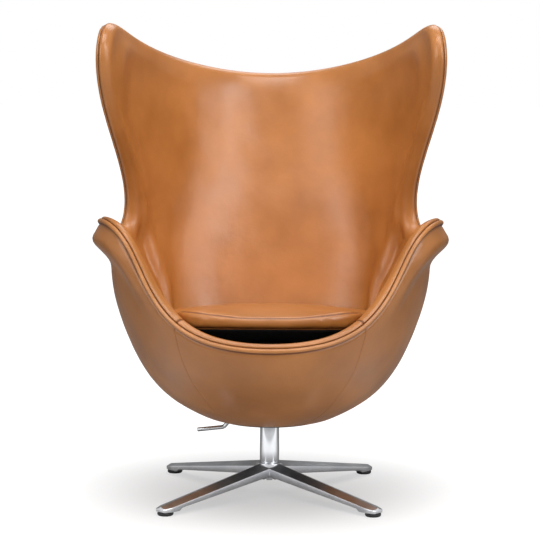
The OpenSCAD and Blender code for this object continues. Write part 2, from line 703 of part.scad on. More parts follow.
function hollow_section(s) =
    let(w = leg_w(s) / 2 - leg_wall, z = leg_top(s) - leg_wall, h = leg_depth(s), x = leg_length * s,
        shoulder = z - h * leg_shoulder_share)
    [[x, 0, z], [x, w, shoulder], [x, w, z - h], [x, -w, z - h], [x, -w, shoulder]];
module prism_strip(sections) {
    n = len(sections);
    m = len(sections[0]);
    points = joined(sections);
    polyhedron(points = points,
        faces = concat([[for (k = [m - 1:-1:0]) k]],
            [[for (k = [0:m - 1]) (n - 1) * m + k]],
            [for (i = [0:n - 2], k = [0:m - 1])
                each quad(points, i * m + k, i * m + (k + 1) % m,
                          (i + 1) * m + (k + 1) % m, (i + 1) * m + k)]));
}
stud_d = 8;
stud_h = 7;
hub_over = 4;
hub_h = leg_root_h + hub_over;
hub_rim_drop = 2;
hub_rim_z = hub_top_z - hub_rim_drop;
hub_foot_z = hub_top_z - hub_h;
module at_legs() { for (a = [45:90:315]) rotate([0, 0, a]) children(); }
module star_base() {
    color("#c9ccd0") difference() {
        union() {
            at_legs() prism_strip([for (s = leg_r_shares) leg_section(s)]);
            translate([0, 0, hub_foot_z]) cylinder(d = hub_d, h = hub_rim_z - hub_foot_z);
        }
        at_legs() prism_strip([for (s = hollow_r_shares) hollow_section(s)]);
        translate([0, 0, column_foot_z]) cylinder(d = column_d + 2 * run_gap, h = hub_h + cut);
        translate([0, 0, hub_foot_z - cut]) cylinder(d = nut_shank_d + 2 * run_gap, h = hub_h + cut);
        at_legs() translate([glide_reach, 0, 0]) cylinder(d = stud_d + 2 * run_gap, h = glide_h + stud_h);
    }
}

// Castellated nut under the hub that draws the column down
nut_shank_d = 30;
nut_flange_d = 40;
nut_base_z = 35;
nut_slots = 6;
nut_slot_w = 7;
nut_slot_h = 7;
nut_bore_d = 16;
module hub_nut() {
    color("#b4b7bb") difference() {
        union() {
            translate([0, 0, nut_base_z]) cylinder(d = nut_flange_d, h = hub_foot_z - nut_base_z);
            translate([0, 0, nut_base_z]) cylinder(d = nut_shank_d, h = column_foot_z - nut_base_z);
        }
        translate([0, 0, nut_base_z - cut]) cylinder(d = nut_bore_d, h = hub_top_z);
        for (k = [0:nut_slots - 1]) rotate([0, 0, 360 * k / nut_slots])
            translate([0, -nut_slot_w / 2, nut_base_z - cut]) cube([nut_flange_d, nut_slot_w, nut_slot_h + cut]);
    }
}

// Glides and their screws
glide_seat = 2.5;
module glide_pads() {
    color("#1b1b1c") at_legs() translate([glide_reach, 0, 0]) difference() {
        rotate_extrude() polygon([
            [0, 0], [glide_d / 2 - glide_seat, 0], [glide_d / 2, glide_seat], [glide_d / 2, glide_h - glide_seat],
            [glide_d / 2 - glide_seat, glide_h], [0, glide_h]]);
        translate([0, 0, glide_h - glide_seat]) cylinder(d = stud_d + 2 * run_gap, h = glide_h);
    }
}
module glide_screws() {
    color("#8f9296") at_legs() translate([glide_reach, 0, glide_h - glide_seat])
        cylinder(d = stud_d, h = glide_seat + stud_h - seat_gap);
}

// Cushion: half outline from the front's middle to the back's, as shares of its half sizes
cushion_shares = [[0, -1], [0.5, -1], [0.94, -0.9], [1.0, -0.5], [1.1, -0.05], [1.04, 0.42],
                  [0.78, 0.84], [0.38, 1], [0, 1.02]];
cushion_n = 36;
cushion_y = -34;
edge_bulge = 5;
cover_t = 1.4;
cloth_t = 1;
base_drop = 40;
crown_shares = [0.35, 0.62, 0.82, 0.94, 1];
base_shares = [1, 0.9, 0.7, 0.4];
outline_rows = concat([[-cushion_shares[1][0], cushion_shares[1][1]]], cushion_shares,
                      [[-cushion_shares[7][0], cushion_shares[7][1]]]);
function outline(t) =
    let(u = t <= 0.5 ? 2 * t : 2 - 2 * t, p = along(outline_rows, u * (len(cushion_shares) - 1)))
    [(t <= 0.5 ? 1 : -1) * p[0] * cushion_w / 2, p[1] * cushion_l / 2];
function seam_z(y) = seat_rise + cushion_h - cushion_slope * y;
crown_power = 2.6;
function crown(s) = crown_h * (1 - pow(s, crown_power));
// A point of the cushion's top, and one of its underside, which lies flat on the deck
function cushion_top(p, s, inset) =
    let(k = s - inset / norm(p) * s, y = cushion_y + p[1] * k)
    [p[0] * k, y, seam_z(y) + crown(s) - inset];
function cushion_under(p, s, inset) =
    let(k = s - inset / norm(p) * s, y = cushion_y + p[1] * k)
    [p[0] * k, y, max(seam_z(y) - cushion_edge_h - base_drop * (1 - pow(s, crown_power)), deck_z(y) + seat_gap) + inset];
function cushion_side(p, inset) =
    let(k = 1 + (edge_bulge - inset) / norm(p), y = cushion_y + p[1] * k)
    [p[0] * k, y, seam_z(y) - cushion_edge_h / 2];
function outlines() = [for (i = [0:cushion_n - 1]) outline(i / cushion_n)];
foam_inset = cover_t + layer_gap;
base_inset = cloth_t + layer_gap;
module cushion_foam() {
    chains = [for (p = outlines()) concat(
        [for (s = crown_shares) cushion_top(p, s, foam_inset)], [cushion_side(p, foam_inset)],
        [for (s = base_shares) cushion_under(p, s - foam_inset / norm(p), base_inset)])];
    color("#efe3b8") pole_solid([0, cushion_y, seam_z(cushion_y) + crown_h - foam_inset], chains,
                                [0, cushion_y, deck_z(cushion_y) + seat_gap + base_inset], chains);
}
module cushion_cover() {
    chains = [for (p = outlines()) concat(
        [for (s = crown_shares) cushion_top(p, s, 0)],
        [cushion_side(p, 0), cushion_under(p, 1, 0), cushion_under(p, 1 - cover_t / norm(p), 0),
         cushion_side(p, cover_t)],
        [for (s = reversed(crown_shares)) cushion_top(p, s, cover_t)])];
    color("#c98a55") pole_solid([0, cushion_y, seam_z(cushion_y) + crown_h], chains,
                                [0, cushion_y, seam_z(cushion_y) + crown_h - cover_t], chains);
}
module cushion_base_cloth() {
    chains = [for (p = outlines()) let(edge = foam_inset / norm(p)) concat(
        [for (s = reversed(base_shares)) cushion_under(p, s - edge, cloth_t)],
        [for (s = base_shares) cushion_under(p, s - edge, 0)])];
    color("#1c1a1a") pole_solid([0, cushion_y, deck_z(cushion_y) + seat_gap + cloth_t], chains,
                                [0, cushion_y, deck_z(cushion_y) + seat_gap], chains);
}

star_base();
column_tube();
column_upper_bush();
column_lower_bush();
hub_nut();
glide_pads();
glide_screws();
swivel_spindle();
thrust_washer();
spindle_circlip();
tilt_housing();
torsion_bushes();
tilt_axle();
axle_clips();
tilt_stops();
lever_bush();
lock_lever();
seat_bracket();
bracket_bolts();
bracket_nuts();
insert_plate();
mounting_ring();
opening_trim();
shell_core();
shell_foam();
front_cover();
right_arm_cover();
left_arm_cover();
back_cover();
inner_cover();
edge_welt();
seat_lining();
cushion_foam();
cushion_cover();
cushion_base_cloth();
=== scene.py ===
"""Dresses the lounge chair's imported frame: leather shell, loose cushion, mechanism and polished star."""

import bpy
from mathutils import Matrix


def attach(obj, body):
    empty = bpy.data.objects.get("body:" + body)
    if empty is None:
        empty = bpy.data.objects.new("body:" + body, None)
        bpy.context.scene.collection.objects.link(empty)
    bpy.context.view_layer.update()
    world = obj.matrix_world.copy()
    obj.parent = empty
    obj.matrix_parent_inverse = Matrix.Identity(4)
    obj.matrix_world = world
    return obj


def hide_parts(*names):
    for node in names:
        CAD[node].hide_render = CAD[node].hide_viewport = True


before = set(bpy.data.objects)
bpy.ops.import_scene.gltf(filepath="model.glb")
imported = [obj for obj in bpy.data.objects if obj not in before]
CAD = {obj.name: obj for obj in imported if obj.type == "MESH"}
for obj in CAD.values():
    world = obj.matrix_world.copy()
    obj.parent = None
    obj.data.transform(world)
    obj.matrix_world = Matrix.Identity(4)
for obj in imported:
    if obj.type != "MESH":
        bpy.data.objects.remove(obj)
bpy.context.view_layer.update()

import logging
import math
from dataclasses import dataclass
from enum import Enum
from typing import Sequence

import bmesh
import bpy
import numpy as np
from mathutils import Matrix, Vector, noise
from mathutils.bvhtree import BVHTree
from mathutils.kdtree import KDTree

LOG = logging.getLogger("lounge_chair")
MM = 0.001
PER_METRE = 1000
WELD = 1e-6
BISECTIONS = 18
RIM_SAMPLES = 4001
FRONT_SEAM = .157
BACK_SEAM = 15 / 28
DIAGONALS = np.radians([45, 135, 225, 315])
Array = np.ndarray
Tree = bpy.types.NodeTree
Socket = bpy.types.NodeSocket
Patterns = tuple[dict[str, Socket], list[tuple[Socket, float]]]
Shape = tuple[Array, list[list[int]]]
Span = tuple[float, float, float, float]
Spot = tuple[float, float, float]

# Profile of the egg in level slices: height share, half width, front, back, widest place and squareness
PROFILE_SHARES = np.array([
    [0, .103, -.105, .108, 0, 0], [.0087, .251, -.250, .255, 0, 0], [.037, .415, -.440, .385, 0, 0],
    [.0855, .610, -.692, .513, 0, .005], [.167, .777, -.885, .615, 0, .01], [.264, .877, -.979, .679, 0, .01],
    [.372, .944, -1.0, .731, 0, .01], [.470, .933, -.987, .780, 0, .015], [.567, .895, -.987, .830, -.026, .02],
    [.675, .931, -.987, .885, -.103, .025], [.7835, .990, -.987, .930, -.205, .03],
    [.892, 1.020, -.987, .968, -.256, .03], [1.0, .995, -.987, 1.0, -.256, .03],
    [1.108, .964, -.987, 1.030, -.256, .03]])
# The rim from the front's middle to the back's: angle, height share, the bend's angle and
# height share, share of the outward roll and share of the extra padding
RIM_SHARES = np.array([
    [0, .236, 0, .1125, 0, 0], [12, .239, 12, .1125, 0, 0], [24, .251, 24, .1125, 0, .05],
    [35, .280, 35, .1125, 0, .2], [43, .329, 44, .123, 0, .45], [49, .394, 53, .134, .07, .75],
    [54, .464, 62, .156, .4, .95], [61, .518, 72, .1775, 1, 1], [78, .516, 82, .199, 1.04, 1],
    [93, .489, 93, .221, .6, 1], [104, .4545, 106, .264, .18, .9], [111, .502, 122, .329, 0, .8],
    [107, .621, 136, .4155, 0, .7], [101, .762, 145, .524, 0, .6], [97, .8755, 150, .610, 0, .5],
    [96, .951, 152, .675, 0, .5], [102, .989, 154, .697, 0, .5], [115, .969, 157, .697, 0, .5],
    [136, .914, 163, .654, 0, .55], [158, .866, 171, .610, 0, .6], [180, .844, 180, .589, 0, .6]])
# Crease between arm and back on the inner leather: height on the surface and place round the rim
CREASE_SHARES = np.array([[.25, .62], [.35, .608], [.44, .592], [.5, .586], [.655, .563], [.83, .549], [1, .544]])
# Cushion's half outline from the front's middle to the back's, as shares of its half sizes
CUSHION_SHARES = np.array([[0, -1], [.5, -1], [.94, -.9], [1.0, -.5], [1.1, -.05], [1.04, .42], [.78, .84],
                           [.38, 1], [0, 1.02]])


class Body(Enum):
    """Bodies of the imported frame."""
    BASE = "base"
    SWIVEL = "swivel"
    LEVER = "lever"
    SEAT = "seat"
    CUSHION = "cushion"


class Panel(Enum):
    """Outer covers: the node and the places round the rim between which each one lies."""
    FRONT = ("front_cover", -FRONT_SEAM, FRONT_SEAM)
    RIGHT_ARM = ("right_arm_cover", FRONT_SEAM, BACK_SEAM)
    LEFT_ARM = ("left_arm_cover", -BACK_SEAM, -FRONT_SEAM)
    BACK = ("back_cover", BACK_SEAM, 41 / 28)


# Nodes and finishes

def linear(code: str) -> tuple[float, float, float, float]:
    """Turns an sRGB hex colour to linear.

    Args:
        code: Six hex digits.
    Returns:
        Linear red, green, blue and an alpha of one.
    """
    parts = [int(code[i:i + 2], 16) / 255 for i in (0, 2, 4)]
    r, g, b = (p / 12.92 if p <= .04045 else ((p + .055) / 1.055) ** 2.4 for p in parts)
    return r, g, b, 1.0


def add(tree: Tree, kind: str, settings: dict | None = None, links: dict | None = None) -> bpy.types.Node:
    """Adds a node with its settings and links.

    Args:
        tree: Shader or geometry tree.
        kind: The node's type name.
        settings: Values by socket name, socket index or property name; a colour is its hex code.
        links: Output sockets by input name or index.
    Returns:
        The new node.
    """
    node = tree.nodes.new(kind)
    values = {}
    for key, value in (settings or {}).items():
        if isinstance(key, str) and key[0].islower():
            setattr(node, key, value)
        else:
            values[key] = linear(value) if isinstance(value, str) else value
    for key, value in values.items():
        node.inputs[key].default_value = value
    for key, socket in (links or {}).items():
        tree.links.new(socket, node.inputs[key])
    return node


def grade(low: float, high: float, first: float = 0.0, last: float = 1.0, smooth: bool = False) -> dict:
    """Settings of a range node.

    Args:
        low: Value that becomes the first result.
        high: Value that becomes the last result.
        first: First result.
        last: Last result.
        smooth: Whether it starts and ends softly.
    Returns:
        The settings.
    """
    return {"interpolation_type": "SMOOTHSTEP" if smooth else "LINEAR",
            "From Min": low, "From Max": high, "To Min": first, "To Max": last}


def cleared(owner: bpy.types.Material | bpy.types.World) -> Tree:
    """Empty node tree of a material or world."""
    owner.use_nodes = True
    owner.node_tree.nodes.clear()
    return owner.node_tree


@dataclass(frozen=True)
class Finish:
    """A finish with one colour, its plain shader values and a fine surface tooth."""
    name: str
    slot: str
    colour: str
    shade: str
    roughness: float
    metallic: float = 0.0
    tone_mm: float = 60.0
    tooth_mm: float = 2.0
    tooth_depth_mm: float = 0.03
    rough_spread: float = 0.06
    sockets: tuple[tuple[str, float], ...] = ()

    def make(self) -> bpy.types.Material:
        """Builds the material, or returns it if it exists."""
        found = bpy.data.materials.get(self.name)
        if found:
            return found
        material = bpy.data.materials.new(self.name)
        tree = cleared(material)
        links, reliefs = self.patterns(tree, add(tree, "ShaderNodeTexCoord").outputs["Object"])
        under: dict[str, Socket] = {}
        for height, depth_mm in reliefs:
            raised = add(tree, "ShaderNodeBump", {"Strength": 1.0, "Distance": depth_mm * MM},
                         {"Height": height, **under})
            under = {"Normal": raised.outputs[0]}
        values = {"Metallic": self.metallic, "Roughness": self.roughness, **dict(self.sockets)}
        bsdf = add(tree, "ShaderNodeBsdfPrincipled", values, {**links, **under})
        add(tree, "ShaderNodeOutputMaterial", links={"Surface": bsdf.outputs[0]})
        material.diffuse_color = linear(self.colour)
        return material

    def tone(self, tree: Tree, place: Socket, size_mm: float, low: float = .35, high: float = .65) -> Socket:
        """Adds a soft noise of a real size, stretched to run from nought to one.

        Args:
            tree: The material's tree.
            place: Coordinates in metres.
            size_mm: Size of one patch.
            low: Noise value that becomes nought.
            high: Noise value that becomes one.
        Returns:
            The value's socket.
        """
        patches = add(tree, "ShaderNodeTexNoise", {"Scale": PER_METRE / size_mm, "Detail": 3.0}, {"Vector": place})
        return add(tree, "ShaderNodeMapRange", grade(low, high), {"Value": patches.outputs[0]}).outputs[0]

    @property
    def two_tone(self) -> dict:
        """Settings of a mix from the finish's shade to its main colour."""
        return {"data_type": "RGBA", 6: self.shade, 7: self.colour}

    @property
    def worn(self) -> dict:
        """Settings of a range that varies the roughness about its mean."""
        return grade(0.0, 1.0, self.roughness - self.rough_spread / 2, self.roughness + self.rough_spread / 2)

    def patterns(self, tree: Tree, place: Socket) -> Patterns:
        """Adds the finish's patterns.

        Args:
            tree: The material's tree.
            place: Coordinates in metres.
        Returns:
            Links of the shader, and the reliefs from the lowest up with their depths in millimetres.
        """
        tone = self.tone(tree, place, self.tone_mm)
        tooth = self.tone(tree, place, self.tooth_mm, .2, .8)
        links = {"Base Color": add(tree, "ShaderNodeMix", self.two_tone, {0: tone}).outputs[2],
                 "Roughness": add(tree, "ShaderNodeMapRange", self.worn, {"Value": tone}).outputs[0]}
        return links, [(tooth, self.tooth_depth_mm)]


@dataclass(frozen=True)
class Cowhide(Finish):
    """Glazed cowhide: a corrected, pigmented grain under a glossy top coat, so that highlights are
    bright and broad, with fine pebbles, pull-up tone and gathers beside the seams."""
    # Colour of the painted shade next to the seams
    seam_shade_colour: str = "5c2606"
    grain_mm: float = 2.4
    grain_depth_mm: float = 0.05
    wrinkle_mm: float = 30.0
    wrinkle_depth_mm: float = 0.45
    gather_mm: float = 13.0
    gather_depth_mm: float = 0.55
    gather_reach_mm: float = 26.0
    gather_stretch: float = .12
    fleck_mm: float = 5.0
    fleck_share: float = .12
    seam_reach_mm: float = 4.2
    seam_shade_share: float = .95
    seam_dullness: float = .2

    def patterns(self, tree: Tree, place: Socket) -> Patterns:
        """Adds tone, grain, wrinkles, the seams' gathers and a painted shade that darkens the colour next to the
        seams.

        Args:
            tree: The material's tree.
            place: Coordinates in metres.
        Returns:
            Links of the shader, and the reliefs from the lowest up with their depths in millimetres.
        """
        lay = add(tree, "ShaderNodeUVMap", {"uv_map": "lay"}).outputs[0]
        run, away = add(tree, "ShaderNodeSeparateXYZ", links={0: lay}).outputs[:2]
        broad = self.tone(tree, place, self.tone_mm, .3, .7)
        fleck = self.tone(tree, place, self.fleck_mm, .3, .7)
        pale = add(tree, "ShaderNodeMapRange", grade(0.0, 1.0, 0.0, self.fleck_share), {"Value": fleck}).outputs[0]
        # Painted shade: within the seam reach the colour darkens towards the seam shade colour, standing in for shade
        # in the seams' grooves
        near = add(tree, "ShaderNodeMapRange", grade(0.0, self.seam_reach_mm * MM, self.seam_shade_share, 0.0),
                   {"Value": away}).outputs[0]
        hide = add(tree, "ShaderNodeMix", self.two_tone, {0: broad}).outputs[2]
        for colour, share in ((self.shade, pale), (self.seam_shade_colour, near)):
            hide = add(tree, "ShaderNodeMix", {"data_type": "RGBA", 7: colour}, {0: share, 6: hide}).outputs[2]
        rubbed = add(tree, "ShaderNodeMapRange", self.worn, {"Value": broad}).outputs[0]
        dull = add(tree, "ShaderNodeMath", {"operation": "MULTIPLY_ADD", 1: self.seam_dullness},
                   {0: near, 2: rubbed}).outputs[0]
        # Real pebbles are 0.5 to 1 mm across; drawn coarser, because finer ones don't show
        pebble = add(tree, "ShaderNodeTexVoronoi", {"feature": "SMOOTH_F1", "Scale": PER_METRE / self.grain_mm,
                                                    "Smoothness": .6}, {"Vector": place}).outputs[0]
        wrinkle = self.tone(tree, place, self.wrinkle_mm, .2, .8)
        scale = PER_METRE / self.gather_mm
        spread = [add(tree, "ShaderNodeMath", {"operation": "MULTIPLY", 1: k}, {0: value}).outputs[0]
                  for value, k in ((run, scale), (away, scale * self.gather_stretch))]
        along_seam = add(tree, "ShaderNodeCombineXYZ", links=dict(enumerate(spread))).outputs[0]
        gather = add(tree, "ShaderNodeTexNoise", {"Scale": 1.0, "Detail": 1.0}, {"Vector": along_seam}).outputs[0]
        fade = add(tree, "ShaderNodeMapRange", grade(0.0, self.gather_reach_mm * MM, 1.0, 0.0, True),
                   {"Value": away}).outputs[0]
        pull = add(tree, "ShaderNodeMath", {"operation": "MULTIPLY"}, {0: gather, 1: fade}).outputs[0]
        reliefs = [(pebble, self.grain_depth_mm), (wrinkle, self.wrinkle_depth_mm), (pull, self.gather_depth_mm)]
        return {"Base Color": hide, "Roughness": dull}, reliefs


@dataclass(frozen=True)
class Weave(Finish):
    """Plain-woven cloth: a soft grid of threads with a little fuzz at grazing angles."""
    thread_mm: float = 1.6

    def patterns(self, tree: Tree, place: Socket) -> Patterns:
        """Adds the threads.

        Args:
            tree: The material's tree.
            place: Coordinates in metres.
        Returns:
            Links of the shader, and the reliefs from the lowest up with their depths in millimetres.
        """
        scale = PER_METRE / self.thread_mm / (2 * math.pi)
        waves = [add(tree, "ShaderNodeTexWave", {"bands_direction": axis, "Scale": scale, "Distortion": .4},
                     {"Vector": place}).outputs[1] for axis in ("X", "Y")]
        cross = add(tree, "ShaderNodeMath", {"operation": "MULTIPLY"}, dict(enumerate(waves))).outputs[0]
        links = {"Base Color": add(tree, "ShaderNodeMix", self.two_tone, {0: cross}).outputs[2]}
        return links, [(cross, self.tooth_depth_mm)]


@dataclass(frozen=True)
class Polished(Finish):
    """Hand-polished casting or plated tube: a metal mirror whose faint long waves bend the reflections."""
    wave_mm: float = 45.0
    wave_depth_mm: float = 0.05
    haze_mm: float = 14.0

    def patterns(self, tree: Tree, place: Socket) -> Patterns:
        """Adds the waves and the wiping haze.

        Args:
            tree: The material's tree.
            place: Coordinates in metres.
        Returns:
            Links of the shader, and the reliefs from the lowest up with their depths in millimetres.
        """
        tone = self.tone(tree, place, self.tone_mm)
        haze = self.tone(tree, place, self.haze_mm, .3, .7)
        hazy = grade(0.0, 1.0, self.roughness, self.roughness + self.rough_spread)
        wave = self.tone(tree, place, self.wave_mm, .2, .8)
        links = {"Base Color": add(tree, "ShaderNodeMix", self.two_tone, {0: tone}).outputs[2],
                 "Roughness": add(tree, "ShaderNodeMapRange", hazy, {"Value": haze}).outputs[0]}
        return links, [(wave, self.wave_depth_mm)]


# Glazed cowhide, cognac: pigment under a gloss coat gives a warm mid brown with creamy highlights
GLAZE = (("IOR", 1.5), ("Specular IOR Level", .42), ("Coat Weight", .14), ("Coat Roughness", .22))
LEATHER = Cowhide("glazed_cognac_cowhide", "tan_leather", "c27d3e", "aa6a30", .35, tone_mm=120.0,
                  rough_spread=.1, sockets=GLAZE)
# Same hide, rolled round a cord: the stretched grain is smoother and a little paler
PIPING = Cowhide("rolled_cognac_piping", "tan_leather", "c58144", "b07034", .35, grain_mm=1.8,
                 wrinkle_depth_mm=.15, gather_depth_mm=.3, gather_reach_mm=6.0, seam_reach_mm=2.6, sockets=GLAZE)
# Bonded nylon sewing thread: round, slightly glossy, a shade darker than the hide
THREAD = Finish("bonded_nylon_thread", "tan_leather", "8e5a33", "744626", .5, tone_mm=9.0, tooth_mm=.8)
# Non-woven black dust cloth: matt, hardly reflecting
CLOTH = Weave("black_platform_cloth", "black_cloth", "0d0c0c", "070606", .92, tooth_depth_mm=.12,
              sockets=(("Specular IOR Level", .2), ("Sheen Weight", .04), ("Sheen Roughness", .5)))
# Cold-cure polyurethane foam: matt, cream, open cells
FOAM = Finish("cold_cure_foam", "foam", "d9c489", "c9b274", .95, tooth_mm=2.2, tooth_depth_mm=.4)
# Cast aluminium, mirror polished by hand: cool grey mirror with faint waves
ALUMINIUM = Polished("polished_cast_aluminium", "polished_aluminium", "d6d7da", "c6c8cc", .3, 1.0,
                     rough_spread=.08)
# Bright chrome plate on a drawn steel tube: the hardest mirror on the chair
CHROME = Polished("bright_chrome_plate", "chrome", "d8dadd", "ccced2", .04, 1.0, rough_spread=.03,
                  wave_mm=80.0)
# Satin chromed rod: the lever's brushed plate spreads its highlights along the rod
SATIN_ROD = Polished("satin_chrome_rod", "steel", "b9babc", "a6a8ab", .24, 1.0, rough_spread=.08)
# Zinc-plated steel: dull, slightly cloudy grey
ZINC = Finish("zinc_plated_steel", "steel", "a9abae", "8f9296", .38, 1.0, tone_mm=18.0, rough_spread=.16)
# Powder-coated steel and iron: deep black with orange peel
POWDER = Finish("black_powder_coat", "black_paint", "1c1c1e", "141415", .42, tooth_mm=1.6, tooth_depth_mm=.06)
# Cast nylon: waxy off-white
NYLON = Finish("cast_nylon", "nylon", "e2dccb", "d5cdb8", .45, sockets=(("IOR", 1.53),))
# Moulded polypropylene: fine spark-eroded matt black
PLASTIC = Finish("moulded_black_plastic", "black_plastic", "17171a", "101012", .5, tooth_mm=1.2,
                 tooth_depth_mm=.05, sockets=(("IOR", 1.49),))
# Natural rubber, carbon filled: dull black
RUBBER = Finish("carbon_black_rubber", "rubber", "1a1a1a", "121212", .8, sockets=(("IOR", 1.52),))
# Foam-filled polyurethane shell: pale, chalky skin
CORE = Finish("moulded_polyurethane_core", "moulded_core", "cfc6b2", "bdb39d", .7, tooth_mm=3.0,
              tooth_depth_mm=.15)
# Hand-laid glass fibre: translucent green grey with resin gloss
FIBRE = Finish("laid_glass_fibre", "glass_fibre", "8b8f80", "767a6b", .4, tone_mm=12.0, tooth_mm=3.0,
               tooth_depth_mm=.2)

CAD_FINISHES: dict[str, Finish] = {
    "column_upper_bush": NYLON, "column_lower_bush": NYLON, "hub_nut": CHROME, "swivel_spindle": ZINC,
    "thrust_washer": NYLON, "spindle_circlip": ZINC, "tilt_housing": POWDER, "torsion_bushes": RUBBER,
    "tilt_axle": ZINC, "axle_clips": ZINC, "tilt_stops": RUBBER, "lever_bush": NYLON, "seat_bracket": POWDER,
    "insert_plate": ZINC, "mounting_ring": FIBRE}


# Mesh helpers

def smooth(mesh: bpy.types.Mesh) -> None:
    """Shades every face of a mesh smooth."""
    mesh.polygons.foreach_set("use_smooth", [True] * len(mesh.polygons))


def set_lay(mesh: bpy.types.Mesh, lay: Array) -> None:
    """Stores the run along the seam and the distance from it as a UV map.

    Args:
        mesh: The mesh.
        lay: Both for each vertex, in metres.
    """
    layer = mesh.uv_layers.get("lay") or mesh.uv_layers.new(name="lay")
    loops = np.zeros(len(mesh.loops), int)
    mesh.loops.foreach_get("vertex_index", loops)
    layer.data.foreach_set("uv", np.asarray(lay, float).reshape(-1, 2)[loops].ravel())


def closed_mesh(name: str, points: Array, faces: Sequence[Sequence[int]], lay: Array | None = None) -> bpy.types.Mesh:
    """Makes a closed, smooth mesh with outward normals.

    Args:
        name: Its name.
        points: Vertices in metres.
        faces: Vertex numbers of each face.
        lay: Run along the seam and distance from it for each vertex, in metres.
    Returns:
        The mesh.
    """
    mesh = bpy.data.meshes.new(name)
    mesh.from_pydata(np.asarray(points, float).reshape(-1, 3).tolist(), [], [list(f) for f in faces])
    if lay is not None:
        set_lay(mesh, lay)
    bm = bmesh.new()
    bm.from_mesh(mesh)
    bmesh.ops.remove_doubles(bm, verts=bm.verts, dist=WELD)
    bmesh.ops.dissolve_degenerate(bm, edges=bm.edges, dist=WELD / 10)
    bmesh.ops.recalc_face_normals(bm, faces=bm.faces)
    bm.to_mesh(mesh)
    bm.free()
    smooth(mesh)
    return mesh


def stand(name: str, data: bpy.types.ID) -> bpy.types.Object:
    """Makes an object of some data and links it to the scene."""
    made = bpy.data.objects.new(name, data)
    bpy.context.scene.collection.objects.link(made)
    return made


def assign(made: bpy.types.Object, finish: Finish, body: Body) -> None:
    """Puts a piece on its body."""
    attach(made, body.value)
    LOG.info("%s: %d faces, %s", made.name, len(made.data.polygons), finish.name)


def piece(name: str, points: Array, faces: Sequence[Sequence[int]], finish: Finish, body: Body,
          lay: Array | None = None) -> bpy.types.Object:
    """Makes a closed, smooth mesh object and puts it on its body.

    Args:
        name: The object's name.
        points: Vertices in metres.
        faces: Vertex numbers of each face.
        finish: The finish of every face.
        body: The body that it rides on.
        lay: Run along the seam and distance from it for each vertex, in metres.
    Returns:
        The object.
    """
    made = stand(name, closed_mesh(name, points, faces, lay))
    made.data.materials.append(finish.make())
    assign(made, finish, body)
    return made


def bake(target: bpy.types.Object) -> None:
    """Applies every modifier of an object."""
    graph = bpy.context.evaluated_depsgraph_get()
    mesh = bpy.data.meshes.new_from_object(target.evaluated_get(graph))
    target.modifiers.clear()
    old, target.data = target.data, mesh
    bpy.data.meshes.remove(old)


def coords(mesh: bpy.types.Mesh) -> Array:
    """Vertices of a mesh as an array."""
    flat = np.zeros(len(mesh.vertices) * 3)
    mesh.vertices.foreach_get("co", flat)
    return flat.reshape(-1, 3)


def place(mesh: bpy.types.Mesh, points: Array) -> None:
    """Moves the vertices of a mesh."""
    mesh.vertices.foreach_set("co", np.asarray(points, float).ravel())
    mesh.update()


def closest(line: Array, points: Array) -> tuple[Array, Array]:
    """Finds the nearest point of a line to each point.

    Args:
        line: Points of the line.
        points: The points.
    Returns:
        Number of the nearest one and its distance.
    """
    tree = KDTree(len(line))
    for i, q in enumerate(line):
        tree.insert(q, i)
    tree.balance()
    near = [tree.find(q) for q in points]
    return np.array([n[1] for n in near]), np.array([n[2] for n in near])


def joined(parts: Sequence[Shape]) -> Shape:
    """Puts several shapes into one."""
    points, faces, count = [], [], 0
    for part, own in parts:
        points.append(part.reshape(-1, 3))
        faces += [[i + count for i in f] for f in own]
        count += len(points[-1])
    return np.concatenate(points), faces


def lofted(loops: Array, ring: bool = True) -> Shape:
    """Joins closed loops of points end to end.

    Args:
        loops: Points of each loop.
        ring: Whether the last loop joins the first; otherwise both ends are closed by the last faces.
    Returns:
        Points and faces.
    """
    count, size = loops.shape[:2]
    spans = count if ring else count - 1
    i, k = np.meshgrid(np.arange(spans), np.arange(size), indexing="ij")
    j, n = (i + 1) % count, (k + 1) % size
    faces = np.stack([i * size + k, i * size + n, j * size + n, j * size + k], -1).reshape(-1, 4).tolist()
    if not ring:
        last = (count - 1) * size
        for k in range(size // 2 - 1):
            faces.append([size - 1 - k, size - 2 - k, k + 1, k])
            faces.append([last + k, last + k + 1, last + size - 2 - k, last + size - 1 - k])
    return loops, faces


def full_turn(count: int) -> Array:
    """Even angles round a circle."""
    return np.arange(count) * 2 * math.pi / count


def polar(r: Array | float, a: Array, z: Array | float) -> Array:
    """Points at radii, angles and heights round the upright axis."""
    x, y = r * np.cos(a), r * np.sin(a)
    return np.stack([x, y, z + 0 * x], -1)


def turned(profile: Array, sides: int) -> Shape:
    """Turns a closed profile round the upright axis.

    Args:
        profile: Radius and height of each point, in metres.
        sides: Number of steps round.
    Returns:
        Points and faces.
    """
    r, z = np.asarray(profile, float).T
    return lofted(polar(r, full_turn(sides)[:, None], z))


def filleted(corners: Sequence[Sequence[float]], radii: Sequence[float], steps: int = 4) -> Array:
    """Rounds the corners of a closed flat outline.

    Args:
        corners: The corners.
        radii: Radius at each corner.
        steps: Points in each arc.
    Returns:
        The rounded outline, always with the same number of points.
    """
    c = np.asarray(corners, float)
    out = []
    for i, radius in enumerate(radii):
        p, a, b = c[i], c[i - 1] - c[i], c[(i + 1) % len(c)] - c[i]
        la, lb = np.linalg.norm(a), np.linalg.norm(b)
        if radius <= 0 or la < 1e-9 or lb < 1e-9:
            out += [p] * steps
            continue
        a, b = a / la, b / lb
        half = math.acos(float(np.clip(a @ b, -1, 1))) / 2
        cut = min(radius / max(math.tan(half), 1e-6), la * .45, lb * .45)
        for u in np.linspace(0, 1, steps):
            w = (1 - u) ** 2, 2 * u * (1 - u), u * u
            out.append(w[0] * (p + a * cut) + w[1] * p + w[2] * (p + b * cut))
    return np.array(out)


def ease(x: Array) -> Array:
    """Smooth step from nought to one."""
    c = np.clip(x, 0, 1)
    return c * c * (3 - 2 * c)


